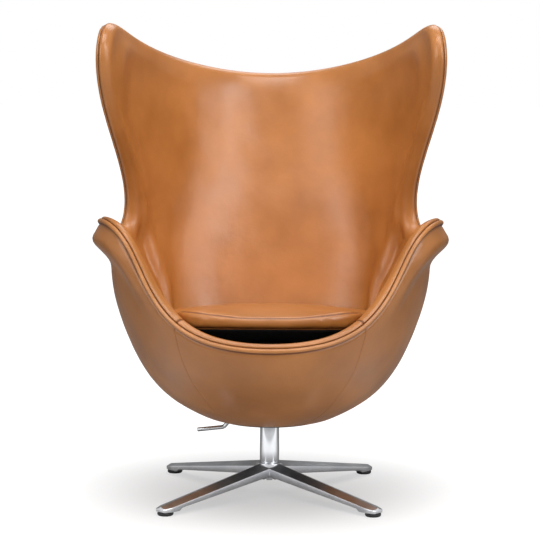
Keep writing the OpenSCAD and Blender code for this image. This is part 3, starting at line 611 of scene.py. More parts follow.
def along(rows: Array, u: Array) -> Array:
    """Cubic B-spline through rows.

    Args:
        rows: The control rows.
        u: Places counted in rows.
    Returns:
        A row for each place.
    """
    u = np.asarray(u, float)
    i = np.clip(np.floor(u).astype(int), 0, len(rows) - 4)
    f = np.clip(u - i, 0, 1)[..., None]
    return ((1 - f) ** 3 * rows[i] + (3 * f ** 3 - 6 * f * f + 4) * rows[i + 1]
            + (3 * (f + f * f - f ** 3) + 1) * rows[i + 2] + f ** 3 * rows[i + 3]) / 6


def unit(directions: Array) -> Array:
    """Directions of length one."""
    return directions / np.linalg.norm(directions, axis=-1, keepdims=True)


def run_along(points: Array) -> Array:
    """Length gone along each row of points, from nought."""
    gap = np.linalg.norm(np.diff(points, axis=-2), axis=-1)
    return np.concatenate([np.zeros((*gap.shape[:-1], 1)), np.cumsum(gap, axis=-1)], axis=-1)


def seam_map(runs: Array, away: Array) -> Array:
    """Run and distance from the seam, for the map of a cover whose loops stand at runs."""
    return np.stack(np.broadcast_arrays(runs[:, None], away), -1)


def bell(off: Array, width: float) -> Array:
    """One in the middle, falling off to nought on both sides over about twice a width."""
    return np.exp(-(off / width) ** 2)


@dataclass(frozen=True)
class Unevenness:
    """Smooth noise of a height and a size of wave, for slack leather and uneven stuffing."""
    height: float
    wave: float
    seed: float = 0.0

    def at(self, points: Array) -> Array:
        """Height at each point, about zero."""
        flat = (np.asarray(points, float).reshape(-1, 3) / self.wave + self.seed).tolist()
        return self.height * np.array([noise.noise(Vector(p)) for p in flat]).reshape(points.shape[:-1])


@dataclass(frozen=True)
class Patch:
    """Soft rise on both sides of the shell that dies away towards the rim."""
    s: float
    v: float
    height: float
    spread_s: float
    spread_v: float
    fade: float

    def at(self, s: Array, v: Array) -> Array:
        """Height at places round the rim and up the surface."""
        return self.height * np.exp(-((np.abs(s) - self.s) / self.spread_s) ** 2
                                    - ((v - self.v) / self.spread_v) ** 2) * ease((1.0 - v) / self.fade)


# The shell's form

@dataclass
class ShellForm:
    """The shell's surfaces: s runs round the rim from the front's middle, negative on the left, and v from
    the opening under the seat up to the rim."""
    width: float = .780
    depth: float = .790
    height: float = .924
    rise: float = .163
    flare: float = .0575
    edge: float = .040
    roll: float = .020
    pad: float = .045
    deck: float = .2015
    deck_slope: float = .05
    leather: float = .0018
    opening_share: float = .0184
    flare_start: float = .82
    flare_end: float = .96
    curl: float = .33
    curl_start: float = .91
    belly: float = .0065
    belly_rise: float = .09
    belly_end: float = .25
    belly_fade: float = .3
    belly_droop: float = .6
    lip_share: float = .25
    side_share: float = .985
    lip_end: float = .14
    lip_fade: float = .16
    step: float = .002

    def __post_init__(self) -> None:
        """Prepares the tables."""
        p = PROFILE_SHARES
        self.profile = np.vstack([2 * p[0] - p[1], p, 2 * p[-1] - p[-2]])
        first, last = RIM_SHARES[1].copy(), RIM_SHARES[-2].copy()
        first[[0, 2]], last[[0, 2]] = -first[[0, 2]], 360 - last[[0, 2]]
        self.rim_rows = np.vstack([first, RIM_SHARES, last])
        self.steps = np.arange((len(p) - 1) * 10 + 1) / 10
        self.heights = along(self.profile, self.steps)[:, 0]
        self.run_s = np.linspace(-1, 1, RIM_SAMPLES)
        self.run = run_along(self.outer(self.run_s, np.ones(RIM_SAMPLES)))
        self.run -= self.run[RIM_SAMPLES // 2]

    def slice_at(self, share: Array) -> Array:
        """Slice number at a height share."""
        return np.interp(share, self.heights, self.steps)

    def egg(self, angle: Array, number: Array) -> Array:
        """Point of the egg.

        Args:
            angle: Degrees round it from the front.
            number: Slice number.
        Returns:
            Points in metres.
        """
        r = along(self.profile, number)
        q = np.radians(angle)
        middle, reach, k = (r[..., 2] + r[..., 3]) / 2, (r[..., 3] - r[..., 2]) / 2, r[..., 5]
        return np.stack([
            self.width / 2 * r[..., 1] * ((1 + k) * np.sin(q) + k * np.sin(3 * q)),
            self.depth / 2 * (middle - reach * ((1 + k) * np.cos(q) - k * np.cos(3 * q))
                              + (r[..., 4] - middle) * np.sin(q) ** 2),
            self.rise + self.height * r[..., 0]], -1)

    def rim(self, t: Array) -> Array:
        """Row of the rim's table."""
        return along(self.rim_rows, t * (len(RIM_SHARES) - 1))

    def outer(self, s: Array, v: Array) -> Array:
        """Outer surface of the covers.

        Args:
            s: Places round the rim.
            v: Places up the surface.
        Returns:
            Points in metres.
        """
        s = (np.asarray(s, float) + 1) % 2 - 1
        t, v = np.abs(s), np.asarray(v, float) + 0 * s
        r = self.rim(t)
        a, b, c = (1 - v) ** 2, 2 * v * (1 - v), v * v
        angle = a * 180 * t + b * r[..., 2] + c * r[..., 0]
        number = a * self.slice_at(self.opening_share) + b * self.slice_at(r[..., 3]) + c * self.slice_at(r[..., 1])
        q = np.radians(angle)
        out = ease((v - self.flare_start) / (self.flare_end - self.flare_start))
        lean = self.flare * r[..., 4] * (out - self.curl * ease((v - self.curl_start) / (1 - self.curl_start)))
        swell = self.belly * ease(v / self.belly_rise) * (1 - ease((v - self.belly_end) / self.belly_fade))
        p = self.egg(angle, number) + lean[..., None] * np.stack([np.sin(q), -np.cos(q), 0 * q], -1)
        p += swell[..., None] * np.stack([np.sin(q), -np.cos(q), 0 * q - self.belly_droop], -1)
        p[..., 0] *= np.where(s < 0, -1, 1)
        return p

    def across(self, s: Array, v: Array) -> Array:
        """Step round the surface."""
        return self.outer(s + self.step, v) - self.outer(s - self.step, v)

    def normal(self, s: Array, v: Array) -> Array:
        """Outward normal of the outer surface."""
        v = np.asarray(v, float) + 0 * np.asarray(s, float)
        up = self.outer(s, np.minimum(v + self.step, 1)) - self.outer(s, np.maximum(v - self.step, 0))
        return unit(np.cross(self.across(s, v), up))

    def under(self, s: Array, v: Array, depth: Array | float) -> Array:
        """Points at a depth under the outer surface."""
        depth = np.asarray(depth, float) + np.zeros(np.broadcast(s, v).shape)
        return self.outer(s, v) - depth[..., None] * self.normal(s, v)

    def rim_point(self, s: Array, depth: Array | float, up: Array | float) -> Array:
        """Points in the rim's frame.

        Args:
            s: Places round the rim.
            depth: Depth under the outer surface.
            up: Rise beyond the rim.
        Returns:
            Points in metres.
        """
        one = np.ones_like(s)
        n = self.normal(s, one)
        e = unit(np.cross(n, self.across(s, one)))
        depth, up = np.asarray(depth, float) + 0 * s, np.asarray(up, float) + 0 * s
        return self.outer(s, one) - depth[..., None] * n + up[..., None] * e

    def roll_point(self, s: Array, inset: Array | float, angle: float) -> Array:
        """Points over the padded roll, from the outer cover's edge to the inner skin."""
        a, half = math.radians(angle), self.edge / 2
        return self.rim_point(s, half - (half - inset) * math.cos(a), (self.roll - inset) * math.sin(a))

    def deck_z(self, y: Array) -> Array:
        """Height of the seat deck."""
        return self.rise + self.deck - self.deck_slope * y

    def pad_depth(self, s: Array, p: Array) -> Array:
        """Thickness from the outer surface to the inner skin."""
        top = self.outer(s, np.ones_like(s))[..., 2]
        share = self.rim(np.abs((np.asarray(s) + 1) % 2 - 1))[..., 5]
        return self.edge + self.pad * share * ease((top - p[..., 2]) / np.maximum(top - self.deck_z(0), self.edge))

    def inner(self, s: Array, v: Array, inset: Array | float = 0.0) -> Array:
        """Points of the inner skin, or at an inset beneath it."""
        p = self.outer(s, v)
        return p - (self.pad_depth(s, p) - inset)[..., None] * self.normal(s, v)

    def deck_level(self, s: Array) -> Array:
        """Place up the surface where the inner skin meets the deck."""
        low, high = np.zeros_like(s), np.ones_like(s)
        for _ in range(BISECTIONS):
            mid = (low + high) / 2
            p = self.inner(s, mid)
            over = p[..., 2] > self.deck_z(p[..., 1])
            high, low = np.where(over, mid, high), np.where(over, low, mid)
        return (low + high) / 2

    def leather_share(self, s: Array) -> Array:
        """Share of the inner skin that is leather: little at the lip, nearly all at the sides."""
        sides = ease((np.abs(s) - self.lip_end) / self.lip_fade)
        return self.lip_share + (self.side_share - self.lip_share) * sides

    def s_at(self, run: Array) -> Array:
        """Place round the rim at a run along it."""
        return np.interp(run, self.run, self.run_s)

    def run_at(self, s: float) -> float:
        """Run along the rim at a place round it; past the back's middle it goes on."""
        turns = math.floor((s + 1) / 2)
        return float(np.interp(s - 2 * turns, self.run_s, self.run)) + turns * self.length

    @property
    def length(self) -> float:
        """Length of the whole rim."""
        return float(self.run[-1] - self.run[0])

    def s_round(self, run: Array) -> Array:
        """Place round the rim at a run that may pass the back's middle."""
        half = self.length / 2
        return self.s_at((np.asarray(run) + half) % self.length - half)

    def even(self, count: int) -> tuple[Array, Array]:
        """Even runs round the whole rim, and the places there."""
        runs = np.linspace(-self.length / 2, self.length / 2, count, endpoint=False)
        return runs, self.s_round(runs)


def spaced(start: float, end: float, pitch: float, marks: Sequence[float] = (), ends: bool = True) -> Array:
    """Runs between two seams, closer together near them and near marks.

    Args:
        start: First run.
        end: Last run.
        pitch: Usual distance.
        marks: Runs of seams between.
        ends: Whether the ends are seams.
    Returns:
        Rising runs.
    """
    near, clear, tiny = np.array([.0006, .0014, .0024, .0038, .006]), .0075, 1e-9
    count = max(int(round((end - start) / pitch)), 2)
    runs = np.linspace(start, end, count + 1)
    seams = ([start, end] if ends else []) + list(marks)
    for seam in seams:
        runs = runs[(np.abs(runs - seam) > clear) | (np.abs(runs - seam) < tiny)]
        runs = np.concatenate([runs, seam + near, seam - near, [seam]])
    runs = runs[(runs >= start - tiny) & (runs <= end + tiny)]
    runs = np.unique(np.round(runs, 7))
    return runs if ends else runs[:-1]


# Upholstery

@dataclass
class Upholstery:
    """Leather over the shell: four outer covers, the inner cover, the welt, the lining and the foam."""
    form: ShellForm
    pitch: float = .009
    levels: int = 58
    seam_gap: float = .0002
    seam_dip: float = .0017
    seam_width: float = .0021
    welt: float = .0103
    welt_angle: float = 18.0
    roll_start: float = 33.0
    tick: float = FRONT_SEAM
    edge_dip: float = .0034
    edge_width: float = .0046
    panel_dip: float = .0006
    crowding: float = 1.15
    edge_levels: tuple[float, ...] = (.006, .004, .0025, .0012, 0)
    edge_turn: tuple[tuple[float, float], ...] = ((0, .0008), (.0003, .0013), (.0006, .0013), (.0009, .0006))
    pared: float = .0009
    roll_steps: tuple[float, ...] = (0, 1.5, 3.5, 6.5, 11)
    foam_angle: float = 64.0
    hollow: Patch = Patch(.643, .93, .008, .032, .055, .04)
    wing_pad: Patch = Patch(.765, .925, .010, .07, .055, .08)
    soft_reach: float = .075
    soft_turns: int = 70
    lining_flat: tuple[float, float] = (.5, .56)
    lining_area: float = .226
    crease_depth: float = .0065
    crease_width: float = .018
    crease_start: float = .3
    crease_fade: float = .12
    swell: float = .0075
    swell_off: float = .055
    swell_width: float = .036

    def build(self) -> None:
        """Builds every piece of the upholstery."""
        for panel in Panel:
            self.outer_cover(panel)
        self.inner_cover()
        self.edge_welt()
        self.seat_lining()
        self.shell_foam()
        self.shell_core()
        self.opening_trim()

    def outer_cover(self, panel: Panel) -> None:
        """Builds one outer cover, whose edges sink into its seams.

        Args:
            panel: Which cover.
        """
        f, (node, first, last) = self.form, panel.value
        start, end = f.run_at(first) + self.seam_gap, f.run_at(last) - self.seam_gap
        runs = spaced(start, end, self.pitch)
        v = 1 - (1 - np.linspace(0, 1, self.levels)) ** self.crowding
        v = np.concatenate([v[:-1], 1 - np.array(self.edge_levels)])
        places = f.s_round(runs)
        s, vv = np.meshgrid(places, np.unique(v), indexing="ij")
        surface = f.outer(s, vv)
        below = run_along(surface[:, ::-1])[:, ::-1]
        nudge = 1e-4
        here, at_rim = (np.linalg.norm(f.outer(s, level) - f.outer(s + nudge, level), axis=-1)
                        for level in (vv, np.ones_like(vv)))
        side = np.minimum(runs - start, end - runs)[:, None] * np.clip(here / np.maximum(at_rim, 1e-9), .05, 1.5)
        dip = self.panel_dip * bell(side, self.seam_width) + self.edge_dip * bell(below, self.edge_width)
        dip = np.minimum(dip, self.edge_dip)
        slack, fine, most, calm = Unevenness(.0007, .11), Unevenness(.0003, .035, 7), .001, .03
        wave = slack.at(surface) * ease(below / calm) + fine.at(surface)
        normal = f.normal(s, vv)
        outside = surface + (np.clip(wave, -most, most) - dip)[..., None] * normal
        inside = surface - np.maximum(f.leather, dip + self.pared)[..., None] * normal
        rows = [f.rim_point(places, dip[:, -1] + depth, up) for depth, up in self.edge_turn]
        loops = np.concatenate([outside, np.stack(rows, 1), inside[:, ::-1]], axis=1)
        # Distance from the seams for the gathers and the painted seam shade; the panel seams count from a little away,
        # so their painted shade is fainter
        near = np.minimum(below, side + .003)
        away = np.concatenate([near, np.zeros((len(runs), len(rows))), near[:, ::-1]], axis=1)
        cover = piece(node, *lofted(loops, False), LEATHER, Body.SEAT, seam_map(runs, away))
        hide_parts(node)

    def skin(self, s: Array) -> tuple[Array, Array, Array, Array]:
        """Inner leather's surface from the welt over the roll and down, where the roll runs softly into the side.

        Args:
            s: Places round the rim.
        Returns:
            Points, normals towards the sitter, places up the surface and angles over the roll.
        """
        f = self.form
        angles = np.concatenate([self.roll_start + np.array(self.roll_steps), np.linspace(56, 180, 13)])
        reach = (1 - f.deck_level(s)) * f.leather_share(s)
        shares = np.linspace(0, 1, 64)[1:]
        v = 1 - reach[:, None] * shares
        ss = np.repeat(s[:, None], len(shares), 1)
        tops = np.stack([f.roll_point(s, 0.0, a) for a in angles], 1)
        p = np.concatenate([tops, f.inner(ss, v)], axis=1)
        gap = np.linalg.norm(np.diff(p, axis=1), axis=-1)
        run = run_along(p)
        edge = run[:, [len(angles) - 1]]
        firm, fade_in, fade_out = .006, .02, .05
        share = ease((run - firm) / fade_in) * ease((edge + self.soft_reach - run) / fade_out)
        first, second = gap[:, :-1, None], gap[:, 1:, None]
        for _ in range(self.soft_turns):
            mid = (p[:, :-2] * second + p[:, 2:] * first) / (first + second)
            p[:, 1:-1] += .5 * share[:, 1:-1, None] * (mid - p[:, 1:-1])
        across = f.roll_point(s + f.step, 0.0, 90) - f.roll_point(s - f.step, 0.0, 90)
        n = unit(np.cross(self.slant(s, p, v, across), np.gradient(p, axis=1)))
        return p, n, np.concatenate([np.ones((len(s), len(angles))), v], axis=1), angles

    def slant(self, s: Array, p: Array, v: Array, across: Array) -> Array:
        """Direction round the shell at each point of the skin.

        Args:
            s: Places round the rim.
            p: Points of the skin.
            v: Places up the surface of the points below the roll.
            across: Direction round the shell on the roll.
        Returns:
            Directions.
        """
        f = self.form
        count = p.shape[1] - v.shape[1]
        ss = np.repeat(s[:, None], v.shape[1], 1)
        below = f.inner(ss + f.step, v) - f.inner(ss - f.step, v)
        return np.concatenate([np.repeat(across[:, None], count, 1), below], axis=1)

    def inner_cover(self) -> None:
        """Builds the inner leather: over the roll, down the arms and the back, and over the front lip."""
        f = self.form
        half = f.length / 2
        ticks = [-f.run_at(self.tick), f.run_at(self.tick)]
        runs = spaced(-half, half, self.pitch, ticks, ends=False)
        s = f.s_round(runs)
        skin, normal, v, angles = self.skin(s)
        off = np.minimum(np.abs(runs - ticks[0]), np.abs(runs - ticks[1]))
        tick_width, lip_end, lip_fade, tuck_angle = .0019, .19, .05, 7.0
        lip = 1 - ease((np.abs(s) - lip_end) / lip_fade)
        groove = self.seam_dip * bell(off, tick_width) * lip
        tuck = self.edge_dip * bell(np.maximum(angles - self.roll_start, 0), tuck_angle)
        tuck = np.concatenate([tuck, np.zeros(v.shape[1] - len(angles))])
        slack, fine, calm = Unevenness(.0016, .16, 3), Unevenness(.0008, .06, 11), .12
        wave = (slack.at(skin) + fine.at(skin)) * ease(np.clip((1 - v) / calm, 0, 1))
        change = self.crease(s[:, None] + 0 * v, v) + wave - groove[:, None] - tuck
        hem, hem_width, backing = .001, .006, .0006
        face = skin + (change - hem * bell(v - v[:, -1:], hem_width))[..., None] * normal
        back = skin - (f.leather + backing - np.minimum(change, 0))[..., None] * normal
        loops = np.concatenate([face, back[:, ::-1]], axis=1)
        # Distance from the welt and the tick seams, for the gathers and the painted seam shade
        away = np.minimum(run_along(face), off[:, None] + (1 - lip[:, None]) * lip_fade)
        away = np.concatenate([away, away[:, ::-1]], axis=1)
        cover = piece("inner_cover", *lofted(loops), LEATHER, Body.SEAT, seam_map(runs, away))
        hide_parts("inner_cover")

    def crease(self, s: Array, v: Array) -> Array:
        """Height of the crease between arm and back and of the swell beside it, and of the hollow at the wings'
        roots and the padding of the wings.

        Args:
            s: Places round the rim.
            v: Places up the surface.
        Returns:
            Heights towards the sitter, in metres.
        """
        middle = np.interp(v, CREASE_SHARES[:, 0], CREASE_SHARES[:, 1])
        nudge = .001
        per_s = np.linalg.norm(self.form.outer(s + nudge, v) - self.form.outer(s - nudge, v), axis=-1) / (2 * nudge)
        off = (np.abs(s) - middle) * per_s
        fade = ease((1.0 - v) / self.crease_fade) * ease((v - self.crease_start) / self.crease_fade)
        sink = self.crease_depth * bell(off, self.crease_width)
        swell = self.swell * bell(off - self.swell_off, self.swell_width)
        return fade * (swell - sink) + self.wing_pad.at(s, v) - self.hollow.at(s, v)

    def edge_welt(self) -> None:
        """Builds the leather welt, a little uneven along its length."""
        f, r, sides, tall = self.form, self.welt / 2, 14, 1.06
        runs, s = f.even(860)
        a0 = math.radians(self.welt_angle)
        depth = f.edge / 2 - (f.edge / 2 - f.leather) * math.cos(a0)
        up = (f.roll - f.leather) * math.sin(a0)
        swell = 1 + Unevenness(.05, .018, 5).at(f.rim_point(s, depth, up))
        angles = full_turn(sides)
        loops = np.stack([f.rim_point(s, depth - r * swell * math.cos(a), up + r * tall * swell * math.sin(a))
                          for a in angles], 1)
        # Distance from where the welt meets the covers; the painted seam shade falls there
        crest, shown = math.radians(38), math.radians(78)
        off = np.abs((angles - crest + math.pi) % (2 * math.pi) - math.pi)
        away = np.maximum(r * (shown - off), 0)
        welt = piece("edge_welt", *lofted(loops), PIPING, Body.SEAT, seam_map(runs, away))
        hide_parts("edge_welt")

    def deck_rows(self, s: Array, deck: Array, inset: float, shares: Sequence[float]) -> list[Array]:
        """Points across the seat deck at shares of its half size."""
        f, p = self.form, self.form.inner(s, deck)
        return [np.stack([p[:, 0] * k, p[:, 1] * k, f.deck_z(p[:, 1] * k) - inset], -1) for k in shares]

    def seat_lining(self) -> None:
        """Builds the black cloth behind the lip and over the deck."""
        f, thick = self.form, .0012
        s = f.even(300)[1]
        deck = f.deck_level(s)
        top = 1 - (1 - deck) * f.leather_share(s)
        outside, inside = ([f.inner(s, top - (top - deck) * k, inset) for k in np.linspace(.012, 1, 12)]
                           + self.deck_rows(s, deck, inset, (.97, .9, .8, .66, .5, .33, .16, 0.0))
                           for inset in (0.0, thick))
        loops = np.stack(outside + inside[::-1], 1)
        cloth = piece("seat_lining", *lofted(loops), CLOTH, Body.SEAT)
        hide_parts("seat_lining")

    def shell_foam(self) -> None:
        """Builds the foam between the core and the inner skin."""
        f, gap, floor, core_face, core_gap = self.form, .0016, .2205, .0152, .0006
        s = f.even(300)[1]
        deck = f.deck_level(s)
        top = 1 - (1 - deck) * f.leather_share(s)
        inset = f.leather + self.pared
        far = core_face + core_gap
        rows = self.deck_rows(s, deck, inset, (0.0, .33, .66, .9))
        rows += [f.inner(s, top - (top - deck) * k, inset) for k in (1, .75, .5, .25)]
        skin, normal, v, angles = self.skin(s)
        sunk = inset + gap - np.minimum(self.crease(s[:, None] + 0 * v, v), 0)
        under = skin - sunk[..., None] * normal
        rows += [under[:, k] for k in range(v.shape[1] - 1, int(np.searchsorted(angles, self.foam_angle)), -1)]
        rows += [f.rim_point(s, far, -.004)]
        for level in np.linspace(.985, .0, 40):
            p = f.under(s, np.full_like(s, level), far)
            p[:, 2] = np.maximum(p[:, 2], floor)
            rows.append(p)
        rows.append(np.tile([0.0, 0.0, floor], (len(s), 1)))
        loops = np.stack(rows, 1)
        foam = piece("shell_foam", *lofted(loops), FOAM, Body.SEAT)
        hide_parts("shell_foam")

    def shell_core(self) -> None:
        """Builds the moulded core with its rounded edge."""
        f, near, thick, sunk = self.form, .0025, .0116, .006
        s = f.even(400)[1]
        levels = np.concatenate([np.linspace(0, .97, 48), [.988]])
        rows = [f.under(s, np.full_like(s, v), near) for v in levels]
        r = thick / 2
        rows += [f.rim_point(s, near + r - r * math.cos(a), r * math.sin(a) - sunk)
                 for a in np.radians(np.linspace(0, 180, 9))]
        rows += [f.under(s, np.full_like(s, v), near + thick) for v in levels[::-1]]
        loops = np.stack(rows, 1)
        core = piece("shell_core", *lofted(loops), CORE, Body.SEAT)
        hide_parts("shell_core")

    def opening_trim(self) -> None:
        """Builds the moulded trim round the opening under the seat."""
        f, g, t, lip, inside = self.form, .0003, .0025, .006, .0143
        s = f.even(240)[1]
        zero = np.zeros_like(s)
        p, n = f.outer(s, zero), f.normal(s, zero)
        e = unit(f.outer(s, zero + f.step) - p)
        flat = filleted([(g + t, lip), (g, lip), (g, -g), (-inside, -g), (-inside, -g - t), (g + t, -g - t)],
                        [.0008, .0004, 0, .0006, .0008, .0016], 4)
        loops = np.stack([p + a * n + b * e for a, b in flat], 1)
        trim = piece("opening_trim", *lofted(loops), PLASTIC, Body.SEAT)
        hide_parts("opening_trim")


# Cushion

@dataclass
class Cushion:
    """Loose seat cushion: leather top and band, blown up as cloth, on a black base cloth."""
    form: ShellForm
    width: float = .430
    length: float = .432
    middle: float = -.034
    seam_height: float = .265
    slope: float = .07
    band: float = .026
    crown: float = .017
    drop: float = .040
    power: float = 2.6
    shrink: float = .005
    cap: float = .003
    pinch: float = .02
    slim: float = .7
    corner_lift: float = .011
    corner_reach: float = .09
    lift_from: float = .05
    lift_fade: float = .15
    slim_from: float = .165
    slim_fade: float = .05
    bulge: float = .005
    voxel: float = .005
    pressure: float = 4.0
    cloth_gap: float = .0004
    cloth_thick: float = .0008
    cloth_flat: tuple[float, float] = (.475, .45)
    cloth_area: float = .178
    frames: int = 20
    deck_gap: float = .0016
    groove: float = .0024
    groove_width: float = .0034
    puff: float = .0012
    puff_off: float = .012
    puff_width: float = .009

    def outline(self, t: Array) -> Array:
        """Outline at shares of the way round, from the front's middle."""
        rows = CUSHION_SHARES
        ends = np.array([[-rows[1][0], rows[1][1]]]), np.array([[-rows[-2][0], rows[-2][1]]])
        rows = np.vstack([ends[0], rows, ends[1]])
        t = np.asarray(t, float)
        u = np.where(t <= .5, 2 * t, 2 - 2 * t)
        p = along(rows, u * (len(CUSHION_SHARES) - 1))
        return np.stack([np.where(t <= .5, 1, -1) * p[..., 0] * self.width / 2, p[..., 1] * self.length / 2], -1)

    def seam_z(self, y: Array) -> Array:
        """Height of the top seam."""
        return self.form.rise + self.seam_height - self.slope * y

    def lift(self, x: Array, y: Array) -> Array:
        """Rise of the top seam towards the front corners, which the arms push up."""
        front = ease((self.middle - self.corner_reach - y) / self.corner_reach)
        return self.corner_lift * front * ease((np.abs(x) - self.lift_from) / self.lift_fade)

    def band_at(self, p: Array) -> Array:
        """Height of the edge band, which narrows at the front corners."""
        front = ease((-p[..., 1] - self.corner_reach) / self.corner_reach)
        corner = front * ease((np.abs(p[..., 0]) - self.slim_from) / self.slim_fade)
        return (self.band + self.lift(p[..., 0], self.middle + p[..., 1])) * (1 - self.slim * corner)

    def ring(self, p: Array, share: float, inset: float) -> tuple[Array, Array]:
        """Plan of the outline at a share of its size."""
        k = share - inset / np.linalg.norm(p, axis=-1) * share
        return p[:, 0] * k, self.middle + p[:, 1] * k

    def top(self, p: Array, share: float, inset: float) -> Array:
        """Points of the crowned top."""
        x, y = self.ring(p, share, inset)
        rise = self.crown * (1 - share ** self.power) + self.lift(x, y)
        return np.stack([x, y, self.seam_z(y) + rise - inset], -1)

    def under(self, p: Array, share: float, inset: float) -> Array:
        """Points of the underside, which lies flat on the deck."""
        x, y = self.ring(p, share, inset)
        low = self.seam_z(y) + self.lift(x, y) - self.band_at(p) - self.drop * (1 - share ** self.power)
        return np.stack([x, y, np.maximum(low + inset, self.form.deck_z(y) + self.deck_gap)], -1)

    def body_rows(self, p: Array, inset: float) -> list[Array]:
        """Rows from the top's middle over the band to the underside's."""
        x, y = self.ring(p, 1.0, inset - self.bulge)
        side = np.stack([x, y, self.seam_z(y) + self.lift(x, y) - self.band_at(p) / 2], -1)
        return ([self.top(p, k, inset) for k in (0.0, .15, .3, .45, .6, .75, .87, .94, .98, 1.0)] + [side]
                + [self.under(p, k, inset) for k in (1.0, .97, .9, .8, .66, .5, .33, .16, 0.0)])

    def build(self) -> bpy.types.Object:
        """Builds the cushion and its base cloth."""
        p = self.outline(np.arange(220) / 220)
        loops = np.stack(self.body_rows(p, self.shrink), 1)
        start = piece("seat_cushion", *lofted(loops), LEATHER, Body.CUSHION)
        self.remesh(start)
        self.inflate(start)
        self.pinch_seams(start)
        self.subdivide(start)
        self.settle(start)
        seam, lower = (self.nearest(start, line) for line in self.seam_lines())
        self.press_seams(start, [seam, lower])
        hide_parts("cushion_cover", "cushion_foam")
        self.base_cloth(p, start)
        self.seam = seam
        return start

    def remesh(self, target: bpy.types.Object) -> None:
        """Remeshes the start shape into even small faces."""
        modifier = target.modifiers.new("even", "REMESH")
        modifier.mode = "VOXEL"
        modifier.voxel_size = self.voxel
        modifier.use_smooth_shade = True
        bake(target)

    def inflate(self, target: bpy.types.Object) -> None:
        """Blows the cushion up as cloth and caps how far a point moves."""
        start = coords(target.data)
        scene = bpy.context.scene
        cloth = target.modifiers.new("cloth", "CLOTH")
        settings = cloth.settings
        settings.use_pressure = True
        settings.uniform_pressure_force = self.pressure
        settings.effector_weights.gravity = 0.0
        settings.tension_stiffness = settings.compression_stiffness = 15
        settings.bending_stiffness = 2.0
        cloth.point_cache.frame_start, cloth.point_cache.frame_end = 1, self.frames
        for number in range(1, self.frames + 1):
            scene.frame_set(number)
        bake(target)
        scene.frame_set(1)
        moved = coords(target.data) - start
        size = np.linalg.norm(moved, axis=1, keepdims=True)
        place(target.data, start + moved * np.minimum(1, self.cap / np.maximum(size, 1e-9)))

    def subdivide(self, target: bpy.types.Object) -> None:
        """Adds one smooth subdivision."""
        modifier = target.modifiers.new("smooth", "SUBSURF")
        modifier.levels = modifier.render_levels = 1
        bake(target)
        smooth(target.data)

    def settle(self, target: bpy.types.Object) -> None:
        """Rests the underside flat on the deck and keeps the top's soft unevenness."""
        p = coords(target.data)
        p[:, 2] = np.maximum(p[:, 2], self.form.deck_z(p[:, 1]) + self.deck_gap)
        seam_blend = .008
        top = ease((p[:, 2] - self.seam_z(p[:, 1])) / seam_blend)
        p[:, 2] += top * Unevenness(.0018, .12, 2).at(p * [1, 1, .3])
        place(target.data, p)

    def seam_lines(self) -> tuple[Array, Array]:
        """Lines that the top seam and the lower seam follow."""
        flat = self.outline(np.arange(720) / 720)
        y = self.middle + flat[:, 1]
        top = np.stack([flat[:, 0], y, self.seam_z(y) + self.lift(flat[:, 0], y)], -1)
        low = top - np.stack([0 * y, 0 * y, self.band_at(flat)], -1)
        return top, low

    def nearest(self, target: bpy.types.Object, line: Array) -> Array:
        """Moves a line onto the cushion's surface and evens it out.

        Args:
            target: The cushion.
            line: Points near it.
        Returns:
            Points of the closed line.
        """
        tree = BVHTree.FromObject(target, bpy.context.evaluated_depsgraph_get())
        found = np.array([tree.find_nearest(Vector(w))[0] for w in line])
        for _ in range(6):
            found = (np.roll(found, 1, 0) + found * 2 + np.roll(found, -1, 0)) / 4
        return found

    def pinch_seams(self, target: bpy.types.Object) -> None:
        """Draws the blown-up surface out to its sewn edges, which the pressure rounds off."""
        p = coords(target.data)
        for wanted in self.seam_lines():
            found = self.nearest(target, wanted)
            index, d = closest(found, p)
            p = p + (wanted - found)[index] * np.exp(-(d / self.pinch) ** 1.6)[:, None]
            place(target.data, p)

    def press_seams(self, target: bpy.types.Object, seams: Sequence[Array]) -> None:
        """Presses grooves along seams and stores the distance from them.

        Args:
            target: The cushion.
            seams: Their lines.
        """
        mesh, p = target.data, coords(target.data)
        index, d = closest(np.concatenate(seams), p)
        normals = np.zeros(len(p) * 3)
        mesh.vertex_normals.foreach_get("vector", normals)
        gather = 1 + Unevenness(.45, .02, 9).at(p)
        depth = self.groove * bell(d, self.groove_width) \
            - self.puff * gather * bell(d - self.puff_off, self.puff_width)
        place(mesh, p - depth[:, None] * normals.reshape(-1, 3))
        step = np.linalg.norm(np.diff(seams[0], axis=0, append=seams[0][:1]), axis=1)
        run = np.tile(np.cumsum(step), len(seams))[index]
        # The distance drives the seams' gathers and their painted shade
        set_lay(mesh, np.stack([run, d], -1))

    def base_cloth(self, p: Array, cushion: bpy.types.Object) -> None:
        """Builds the black cloth that lies close under the cushion.

        Args:
            p: The outline.
            cushion: The finished cushion.
        """
        tree = BVHTree.FromObject(cushion, bpy.context.evaluated_depsgraph_get())
        near, far = [], []
        for share in (.985, .95, .9, .8, .66, .5, .33, .16, 0.0):
            found = [tree.find_nearest(Vector(q)) for q in self.under(p, share, 0.0)]
            spot = np.array([hit[0] for hit in found])
            facing = np.array([hit[1] for hit in found])
            near.append(spot + self.cloth_gap * facing)
            far.append(spot + (self.cloth_gap + self.cloth_thick) * facing)
        loops = np.stack(near[::-1] + far, 1)
        cloth = piece("cushion_base_cloth", *lofted(loops), CLOTH, Body.CUSHION)
        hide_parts("cushion_base_cloth")


# Repeated pieces

